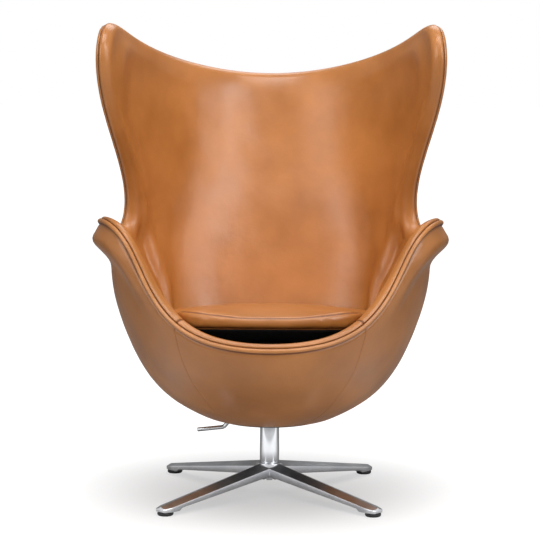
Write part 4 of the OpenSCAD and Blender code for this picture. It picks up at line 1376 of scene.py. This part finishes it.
@dataclass
class Repeater:
    """Geometry-node trees that lay stitches along a line and copies of a shape on points."""
    seed: int = 7
    sharp: float = 35.0

    def tree(self, name: str, inputs: Sequence[tuple[str, str]]) -> tuple[Tree, bpy.types.Node]:
        """Makes a tree with named inputs.

        Args:
            name: The tree's name.
            inputs: Name and socket type of each input after the geometry.
        Returns:
            The tree and its input node.
        """
        group = bpy.data.node_groups.new(name, "GeometryNodeTree")
        group.interface.new_socket("Geometry", in_out="INPUT", socket_type="NodeSocketGeometry")
        for label, kind in inputs:
            group.interface.new_socket(label, in_out="INPUT", socket_type=kind)
        group.interface.new_socket("Geometry", in_out="OUTPUT", socket_type="NodeSocketGeometry")
        return group, add(group, "NodeGroupInput")

    def close(self, group: Tree, shape: Socket, finish: Finish) -> None:
        """Ends a tree in real geometry with its material."""
        real = add(group, "GeometryNodeRealizeInstances", links={"Geometry": shape})
        dressed = add(group, "GeometryNodeSetMaterial", {"Material": finish.make()}, {"Geometry": real.outputs[0]})
        add(group, "NodeGroupOutput", links={0: dressed.outputs[0]})

    def carry(self, name: str, points: Array, edges: list[tuple[int, int]], group: Tree,
              values: dict[str, object], finish: Finish, body: Body) -> bpy.types.Object:
        """Runs a tree on points and keeps the result as a plain mesh.

        Args:
            name: The piece's name.
            points: Points that carry the copies.
            edges: Edges between them.
            group: The tree.
            values: Its inputs by name.
            finish: The finish.
            body: The body that it rides on.
        Returns:
            The piece.
        """
        mesh = bpy.data.meshes.new(name)
        mesh.from_pydata(np.asarray(points).tolist(), edges, [])
        made = stand(name, mesh)
        modifier = made.modifiers.new("repeat", "NODES")
        modifier.node_group = group
        for item in group.interface.items_tree:
            if item.in_out == "INPUT" and item.name in values:
                modifier[item.identifier] = values[item.name]
        bpy.context.view_layer.update()
        bake(made)
        made.data.name = name
        smooth(made.data)
        assign(made, finish, body)
        return made

    def stitches(self, name: str, line: Array, body: Body, pitch: float = .0052, length: float = .0040,
                 radius: float = .00042) -> bpy.types.Object:
        """Lays stitches along a closed line.

        Args:
            name: The piece's name.
            line: Points of the line.
            body: The body that it rides on.
            pitch: Distance from stitch to stitch.
            length: Length of a stitch.
            radius: Radius of the thread.
        Returns:
            The stitches.
        """
        sizes = {"Pitch": pitch, "Length": length, "Radius": radius}
        group, given = self.tree(name, [(label, "NodeSocketFloat") for label in sizes] + [("Seed", "NodeSocketInt")])
        curve = add(group, "GeometryNodeMeshToCurve", links={0: given.outputs["Geometry"]})
        even = add(group, "GeometryNodeResampleCurve", {"mode": "LENGTH"},
                   {"Curve": curve.outputs[0], "Length": given.outputs["Pitch"]})
        bead = add(group, "GeometryNodeMeshUVSphere", {"Segments": 6, "Rings": 4, "Radius": 1.0})
        sway = add(group, "FunctionNodeRandomValue", {"data_type": "FLOAT", 2: .9, 3: 1.08},
                   {"Seed": given.outputs["Seed"]})
        half = add(group, "ShaderNodeMath", {"operation": "MULTIPLY", 1: .5}, {0: given.outputs["Length"]})
        tall = add(group, "ShaderNodeMath", {"operation": "MULTIPLY"}, {0: half.outputs[0], 1: sway.outputs[1]})
        size = add(group, "ShaderNodeCombineXYZ", links={0: given.outputs["Radius"], 1: given.outputs["Radius"],
                                                         2: tall.outputs[0]})
        heading = add(group, "GeometryNodeInputTangent")
        turn = add(group, "FunctionNodeAlignRotationToVector", {"axis": "Z"}, {"Vector": heading.outputs[0]})
        laid = add(group, "GeometryNodeInstanceOnPoints", links={
            "Points": even.outputs[0], "Instance": bead.outputs[0], "Rotation": turn.outputs[0],
            "Scale": size.outputs[0]})
        self.close(group, laid.outputs[0], THREAD)
        edges = [(i, (i + 1) % len(line)) for i in range(len(line))]
        return self.carry(name, line, edges, group, {**sizes, "Seed": self.seed}, THREAD, body)

    def copies(self, name: str, points: Array, shape: Shape, finish: Finish, body: Body) -> bpy.types.Object:
        """Puts a copy of a shape on each point in place of a node.

        Args:
            name: The node's name, which is the piece's too.
            points: Where the copies stand.
            shape: Points and faces of the shape round the origin.
            finish: The finish.
            body: The body that it rides on.
        Returns:
            The copies.
        """
        one = stand(name + "_one", closed_mesh(name + "_one", *shape))
        group, given = self.tree(name, (("Shape", "NodeSocketObject"),))
        shape_node = add(group, "GeometryNodeObjectInfo", links={"Object": given.outputs["Shape"]})
        laid = add(group, "GeometryNodeInstanceOnPoints",
                   links={"Points": given.outputs["Geometry"], "Instance": shape_node.outputs["Geometry"]})
        self.close(group, laid.outputs[0], finish)
        made = self.carry(name, points, [], group, {"Shape": one}, finish, body)
        model = one.data
        bpy.data.objects.remove(one)
        bpy.data.meshes.remove(model)
        made.data.set_sharp_from_angle(angle=math.radians(self.sharp))
        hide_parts(name)
        return made


# Base and mechanism

@dataclass
class StarBase:
    """Four cast and polished legs on a turned hub, the column, and the glides with their screws."""
    repeat: Repeater
    glide_reach: float = .325
    leg_length: float = .342
    hub_top: float = .077
    hub_rim: float = .075
    hub_foot: float = .042
    hub_r: float = .031
    root: tuple[float, float] = (.050, .031)
    tip: tuple[float, float] = (.038, .012)
    wall: float = .005
    tip_top: float = .0205
    glide_h: float = .0085
    glide_d: float = .036
    narrow: float = .72
    column_d: float = .0445
    column_wall: float = .003
    column_foot: float = .046
    column_top: float = .1666
    bore_r: float = .0152
    clearance: float = .00005

    def leg_loop(self, s: float, inset: float = 0.0) -> Array:
        """Rounded section of a leg.

        Args:
            s: Share of its length.
            inset: Distance by which the section is drawn in at the tip.
        Returns:
            Points across the leg and up.
        """
        hub_share, leg_share, round_from, round_share, shoulder_share, solid_from, solid_fade = (
            .05, .95, .94, .06, .38, .85, .03)
        w = (self.root[0] + (self.tip[0] - self.root[0]) * s) / 2
        w *= 1 - (1 - self.narrow) * max(s - round_from, 0) / round_share
        h = self.root[1] + (self.tip[1] - self.root[1]) * s
        z = self.hub_top + (self.tip_top - self.hub_top) * (s - hub_share) / leg_share
        shoulder = z - h * shoulder_share
        solid = float(ease(np.array((s - solid_from) / solid_fade)))
        foot = (z - h) * (1 - solid) + self.glide_h * solid
        w, z, shoulder, foot = w - inset, z - inset * .7, shoulder - inset * .6, foot + inset * .5
        inw, roof = w - self.wall, (z - self.wall) * (1 - solid) + foot * solid
        low = (shoulder - self.wall * .8) * (1 - solid) + foot * solid
        r = [.0008, .0022, .0024, .0022, .0008] + [.0008 * (1 - solid)] * 5
        return filleted([(-w, foot), (-w, shoulder), (0, z), (w, shoulder), (w, foot), (inw, foot), (inw, low),
                         (0, roof), (-inw, low), (-inw, foot)], r)

    def legs(self) -> bpy.types.Object:
        """Builds the star: legs, hub and the webs between."""
        shares = [.03, .1, .2, .3, .4, .5, .6, .7, .78, .84, .85, .857, .865, .875, .88, .9, .92, .94, .96, .98,
                  .99, .995, .9985, 1.0]
        insets = [0] * 20 + [.0001, .0005, .0012, .0022]
        sections = [self.leg_loop(s, i) for s, i in zip(shares, insets)]
        leg = np.stack([np.column_stack([np.full(len(q), s * self.leg_length), q]) for s, q in zip(shares, sections)])
        count, size = leg.shape[:2]
        sides = lofted(leg, False)[1][:(count - 1) * size]
        caps = [list(range(size))[::-1], [(count - 1) * size + k for k in range(size)]]
        parts = []
        for angle in DIAGONALS:
            c, z = math.cos(angle), math.sin(angle)
            parts.append((leg.reshape(-1, 3) @ np.array([[c, z, 0], [-z, c, 0], [0, 0, 1]]), sides + caps))
        bore, seat = self.column_d / 2 + self.clearance, self.column_foot - .0005
        hub = filleted([(self.hub_r, self.hub_foot), (self.hub_r, self.hub_rim), (bore, self.hub_rim),
                        (bore, seat), (self.bore_r, seat), (self.bore_r, self.hub_foot)],
                       [.001, .0022, .0006, 0, 0, .0005], 5)
        star = piece("star_base", *joined([*parts, turned(hub, 128), self.web()]), ALUMINIUM, Body.BASE)
        star.data.set_sharp_from_angle(angle=math.radians(50))
        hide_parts("star_base")
        return star

    def web(self) -> Shape:
        """Concave webs that join neighbouring legs at the hub."""
        a = full_turn(192)
        pull = np.abs(np.sin(2 * a)) ** 3
        rows = []
        for r0, reach, z in ((.0235, 0, .0445), (.0345, .034, .0445), (.0355, .034, .046), (.0355, .034, .0545),
                             (.0345, .034, .0565), (.0325, .026, .0585), (.0235, 0, .0595)):
            r = r0 + reach * pull
            rows.append(polar(r, a, z - .055 * np.maximum(r - .036, 0)))
        return lofted(np.stack(rows, 1))

    def column(self) -> None:
        """Builds the chromed tube."""
        r, q = self.column_d / 2, self.column_d / 2 - self.column_wall
        profile = filleted([(r, self.column_foot), (r, self.column_top), (q, self.column_top), (q, self.column_foot)],
                           [.0003, .0008, .0005, .0003], 4)
        tube = piece("column_tube", *turned(profile, 160), CHROME, Body.BASE)
        tube.data.set_sharp_from_angle(angle=math.radians(40))
        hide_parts("column_tube")

    def feet(self) -> None:
        """Builds the glides and their screws."""
        spots = polar(self.glide_reach, DIAGONALS, 0.0)
        r, h = self.glide_d / 2, self.glide_h
        pad = filleted([(0, 0), (r - .0025, 0), (r, .0025), (r, h - .0025), (r - .0025, h), (.0041, h),
                        (.0041, h - .0025), (0, h - .0025)], [0, .001, .001, .001, .001, .0003, 0, 0], 4)
        self.repeat.copies("glide_pads", spots, turned(pad, 56), PLASTIC, Body.BASE)
        screw = filleted([(0, h - .0025), (.004, h - .0025), (.004, .0152), (0, .0152)], [0, .0003, .0006, 0], 3)
        self.repeat.copies("glide_screws", spots, turned(screw, 32), ZINC, Body.BASE)

    def build(self) -> None:
        """Builds the whole base."""
        self.legs()
        self.column()
        self.feet()


@dataclass
class Mechanism:
    """The tilt lever, the bracket's bolts and nuts, and the finishes of the CAD parts that stay."""
    repeat: Repeater
    rod: float = .0095
    lever_y: float = -.034
    axle_z: float = .1875
    reach: float = .078
    bend: float = 49.0
    unbend: float = 43.0
    bend_r: float = .012
    drop: float = .0235
    grip: float = .055
    start: float = .018
    bolt_x: float = .055
    bolt_y: float = .050
    bolt_d: float = .008
    bracket_z: float = .2056
    plate_top: float = .2136

    def path(self) -> Array:
        """Lever's path: distance outward, drop and heading under level."""
        rows = [(self.start, 0.0, 0.0), (.03, 0.0, 0.0), (.05, 0.0, 0.0), (self.reach, 0.0, 0.0)]
        x, z, q = rows[-1]
        for a in np.radians(np.linspace(0, self.bend, 13)[1:]):
            rows.append((x + self.bend_r * math.sin(a), z + self.bend_r * (1 - math.cos(a)), a))
        x, z, q = rows[-1]
        x, z = x + self.drop * math.cos(q), z + self.drop * math.sin(q)
        rows.append((x, z, q))
        for k in np.linspace(0, self.unbend, 13)[1:]:
            a = q - math.radians(k)
            rows.append((x + self.bend_r * (math.sin(q) - math.sin(a)),
                         z + self.bend_r * (math.cos(a) - math.cos(q)), a))
        x, z, q = rows[-1]
        rows += [(x + d * math.cos(q), z + d * math.sin(q), q) for d in (self.grip / 2, self.grip)]
        return np.array(rows)

    def lever(self) -> None:
        """Builds the bent rod with a rounded end."""
        rows, sides, radius = self.path(), 28, self.rod * .495
        a = full_turn(sides)
        r = np.full(len(rows), radius)
        end = rows[-1]
        caps = [(.0006, .93), (.0011, .8), (.00145, .6), (.0015, 0.0)]
        rows = np.vstack([rows[0], rows] + [[end[0] + d * math.cos(end[2]), end[1] + d * math.sin(end[2]), end[2]]
                                            for d, _ in caps])
        r = np.concatenate([[0.0], r, [radius * k for _, k in caps]])
        loops = np.stack([np.stack([-x + q * np.cos(a) * math.sin(h), self.lever_y + q * np.sin(a),
                                    self.axle_z - z - q * np.cos(a) * math.cos(h)], -1)
                          for (x, z, h), q in zip(rows, r)])
        faces = lofted(loops, False)[1][:(len(loops) - 1) * sides]
        lever = piece("lock_lever", loops, faces, SATIN_ROD, Body.LEVER)
        lever.data.set_sharp_from_angle(angle=math.radians(60))
        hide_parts("lock_lever")

    def hexagon(self, across: float, low: float, high: float, bore: float) -> Shape:
        """Chamfered hexagon, with a bore or without.

        Args:
            across: Corner diameter.
            low: Foot.
            high: Top.
            bore: Bore radius, or nought.
        Returns:
            Points and faces.
        """
        n, r, c = 48, across / 2, .0006
        a = full_turn(n)
        six = r * math.cos(math.pi / 6) / np.cos((a + math.pi / 6) % (math.pi / 3) - math.pi / 6)
        ring = np.minimum(six, r * .985)
        small = np.minimum(six, r * .9)
        rows = [(np.full(n, bore), low), (small, low), (ring, low + c), (ring, high - c), (small, high),
                (np.full(n, bore), high)]
        return lofted(np.stack([polar(q, a, z) for q, z in rows], 1))

    def bolts(self) -> None:
        """Builds the bracket's bolts and nuts."""
        spots = np.array([[x * self.bolt_x, y * self.bolt_y, 0] for x in (-1, 1) for y in (-1, 1)])
        corner, head, nut = self.bolt_d * 1.625, self.bolt_d * .55, self.bolt_d * .8
        z, top = self.bracket_z, self.plate_top
        shank = filleted([(0, z - .001), (self.bolt_d / 2, z - .001), (self.bolt_d / 2, top + nut), (0, top + nut)],
                         [0, 0, .0006, 0], 3)
        bolt = joined([self.hexagon(corner, z - head, z, 0.0), turned(shank, 48)])
        self.repeat.copies("bracket_bolts", spots, bolt, ZINC, Body.SEAT)
        nuts = self.hexagon(corner, top, top + nut, self.bolt_d / 2 + .00005)
        self.repeat.copies("bracket_nuts", spots, nuts, ZINC, Body.SEAT)

    def dress(self) -> None:
        """Gives the CAD parts that stay their finishes."""
        for node, finish in CAD_FINISHES.items():
            slots = CAD[node].material_slots
            for slot in slots:
                slot.material = finish.make()
            if not slots:
                CAD[node].data.materials.append(finish.make())
            LOG.info("%s: CAD part, %s", node, finish.name)

    def build(self) -> None:
        """Builds the lever and the bolts and dresses the rest."""
        self.lever()
        self.bolts()
        self.dress()


# Studio

@dataclass
class Studio:
    """Pale floor, soft lights, white surroundings and the camera at the photograph's view."""
    distance: float = 4.69
    eye: float = 1.033
    pitch: float = 6.22
    lens: float = 136.9
    aside: float = -.0009
    roll: float = .28
    front: Spot = (0.0, -.94, .34)
    surroundings: Span = (-.5, .05, .22, .95)
    dim: float = .2
    far: float = 30.0
    floor_colour: str = "909090"
    floor_roughness: float = .8
    # Glow to the camera, lower near the chair: a painted shadow round it
    seen_glow_painted_shadow: Span = (.12, .74, .47, 1.0)
    glow_before: Span = (-1.3, -.6, .36, 1.0)
    glow_behind: Span = (-.3, .4, 1.0, .02)
    # Glow to reflections, lower under the chair: a painted shadow in them
    under_glow_painted_shadow: Span = (.25, .55, .12, 1.0)
    bounce: float = .26
    lamps: tuple[tuple[str, float, float, Spot, Spot], ...] = (
        ("key", 50.0, 1.4, (1.9, -3.6, 2.5), (0, 0, .8)),
        ("fill", 22.0, 1.8, (-2.3, -3.2, 2.4), (0, 0, .8)),
        ("top", 78.0, 2.0, (0.0, -1.4, 3.4), (0, 0, .6)),
        ("rear", 36.0, 2.0, (0.4, 2.1, 3.3), (0, 0, .6)),
        ("right_strip", 21.0, 1.3, (2.0, -2.0, 1.25), (0, 0, .8)),
        ("left_strip", 17.0, 1.3, (-2.0, -2.0, 1.25), (0, 0, .8)))

    def world(self) -> None:
        """White to the camera, white to pale grey from the front to the back to reflections, dim to the rest."""
        world = bpy.data.worlds.new("studio")
        bpy.context.scene.world = world
        tree = cleared(world)
        path = add(tree, "ShaderNodeLightPath")
        seen = add(tree, "ShaderNodeMath", {"operation": "MAXIMUM"},
                   {0: path.outputs["Is Camera Ray"], 1: path.outputs["Is Transmission Ray"]})
        heading = add(tree, "ShaderNodeTexCoord").outputs["Generated"]
        facing = add(tree, "ShaderNodeVectorMath", {"operation": "DOT_PRODUCT", 1: self.front}, {0: heading})
        level = add(tree, "ShaderNodeMapRange", grade(*self.surroundings, smooth=True),
                    {"Value": facing.outputs["Value"]})
        dim, room, white = (add(tree, "ShaderNodeBackground", {"Color": "ffffff", "Strength": strength})
                            for strength in (self.dim, 1.0, 1.0))
        tree.links.new(level.outputs[0], room.inputs["Strength"])
        mirror = add(tree, "ShaderNodeMixShader", links={0: path.outputs["Is Glossy Ray"], 1: dim.outputs[0],
                                                         2: room.outputs[0]})
        mixed = add(tree, "ShaderNodeMixShader", links={0: seen.outputs[0], 1: mirror.outputs[0], 2: white.outputs[0]})
        add(tree, "ShaderNodeOutputWorld", links={0: mixed.outputs[0]})

    def floor(self) -> None:
        """White floor that keeps the chair's shadow and adds a painted shadow: its glow to the camera is lower near
        the chair and grows outward. Its glow to reflections is graded by place and is lower under the chair, a painted
        shadow in them, and diffuse rays take a little light from it."""
        mesh, far = bpy.data.meshes.new("studio_floor"), self.far
        mesh.from_pydata([(-far, -far, 0), (far, -far, 0), (far, far, 0), (-far, far, 0)], [], [(0, 1, 2, 3)])
        floor = stand("studio_floor", mesh)
        material = bpy.data.materials.new("studio_floor")
        tree = cleared(material)
        path = add(tree, "ShaderNodeLightPath")
        place = add(tree, "ShaderNodeTexCoord").outputs["Object"]
        away = add(tree, "ShaderNodeVectorMath", {"operation": "LENGTH"}, {0: place}).outputs["Value"]
        along_y = add(tree, "ShaderNodeSeparateXYZ", links={0: place}).outputs[1]
        # level is the painted shadow seen by the camera, and under is the painted shadow in reflections
        level, before, behind, under = (
            add(tree, "ShaderNodeMapRange", grade(*glow, smooth=True), {"Value": value}).outputs[0]
            for glow, value in ((self.seen_glow_painted_shadow, away), (self.glow_before, along_y),
                                (self.glow_behind, along_y), (self.under_glow_painted_shadow, away)))
        mirrored = before
        for share in (behind, under, path.outputs["Is Glossy Ray"]):
            mirrored = add(tree, "ShaderNodeMath", {"operation": "MULTIPLY"}, {0: mirrored, 1: share}).outputs[0]
        glow = add(tree, "ShaderNodeMath", {"operation": "MULTIPLY_ADD"},
                   {0: path.outputs["Is Camera Ray"], 1: level, 2: mirrored})
        glow = add(tree, "ShaderNodeMath", {"operation": "MULTIPLY_ADD", 1: self.bounce},
                   {0: path.outputs["Is Diffuse Ray"], 2: glow.outputs[0]})
        bsdf = add(tree, "ShaderNodeBsdfPrincipled",
                   {"Base Color": self.floor_colour, "Roughness": self.floor_roughness, "Emission Color": "ffffff"},
                   {"Emission Strength": glow.outputs[0]})
        add(tree, "ShaderNodeOutputMaterial", links={0: bsdf.outputs[0]})
        mesh.materials.append(material)

    def lights(self) -> None:
        """Soft area lamps; the strips at the sides only show as highlights."""
        for name, watts, size, spot, aim in self.lamps:
            lamp = bpy.data.lights.new(name, "AREA")
            lamp.energy, lamp.size, lamp.shape = watts, size, "SQUARE"
            made = stand(name, lamp)
            made.location = spot
            made.rotation_euler = (Vector(aim) - Vector(spot)).to_track_quat("-Z", "Y").to_euler()
            made.visible_diffuse = not name.endswith("strip")

    def camera(self) -> None:
        """Camera at the photograph's place."""
        data = bpy.data.cameras.new("camera")
        data.lens, data.sensor_width, data.clip_end = self.lens, 36.0, 100.0
        made = stand("camera", data)
        made.location = (self.aside, -self.distance, self.eye)
        tilt = Matrix.Rotation(math.radians(90 - self.pitch), 4, "X")
        made.rotation_euler = (tilt @ Matrix.Rotation(math.radians(self.roll), 4, "Z")).to_euler()
        bpy.context.scene.camera = made

    def build(self) -> None:
        """Builds the studio."""
        bpy.context.scene.view_settings.view_transform = "Standard"
        self.world()
        self.floor()
        self.lights()
        self.camera()


def main() -> None:
    """Builds the chair's visible pieces in order."""
    logging.basicConfig(level=logging.INFO, format="%(message)s")
    Studio().build()
    form = ShellForm()
    repeat = Repeater()
    cushion = Cushion(form)
    cushion.build()
    Upholstery(form).build()
    StarBase(repeat).build()
    Mechanism(repeat).build()
    repeat.stitches("cushion_stitches", cushion.seam, Body.CUSHION)
    edge_line = form.roll_point(form.even(1400)[1], -.0001, 37.0)
    repeat.stitches("edge_stitches", edge_line, Body.SEAT, pitch=.0062)


if __name__ == "__main__":
    main()
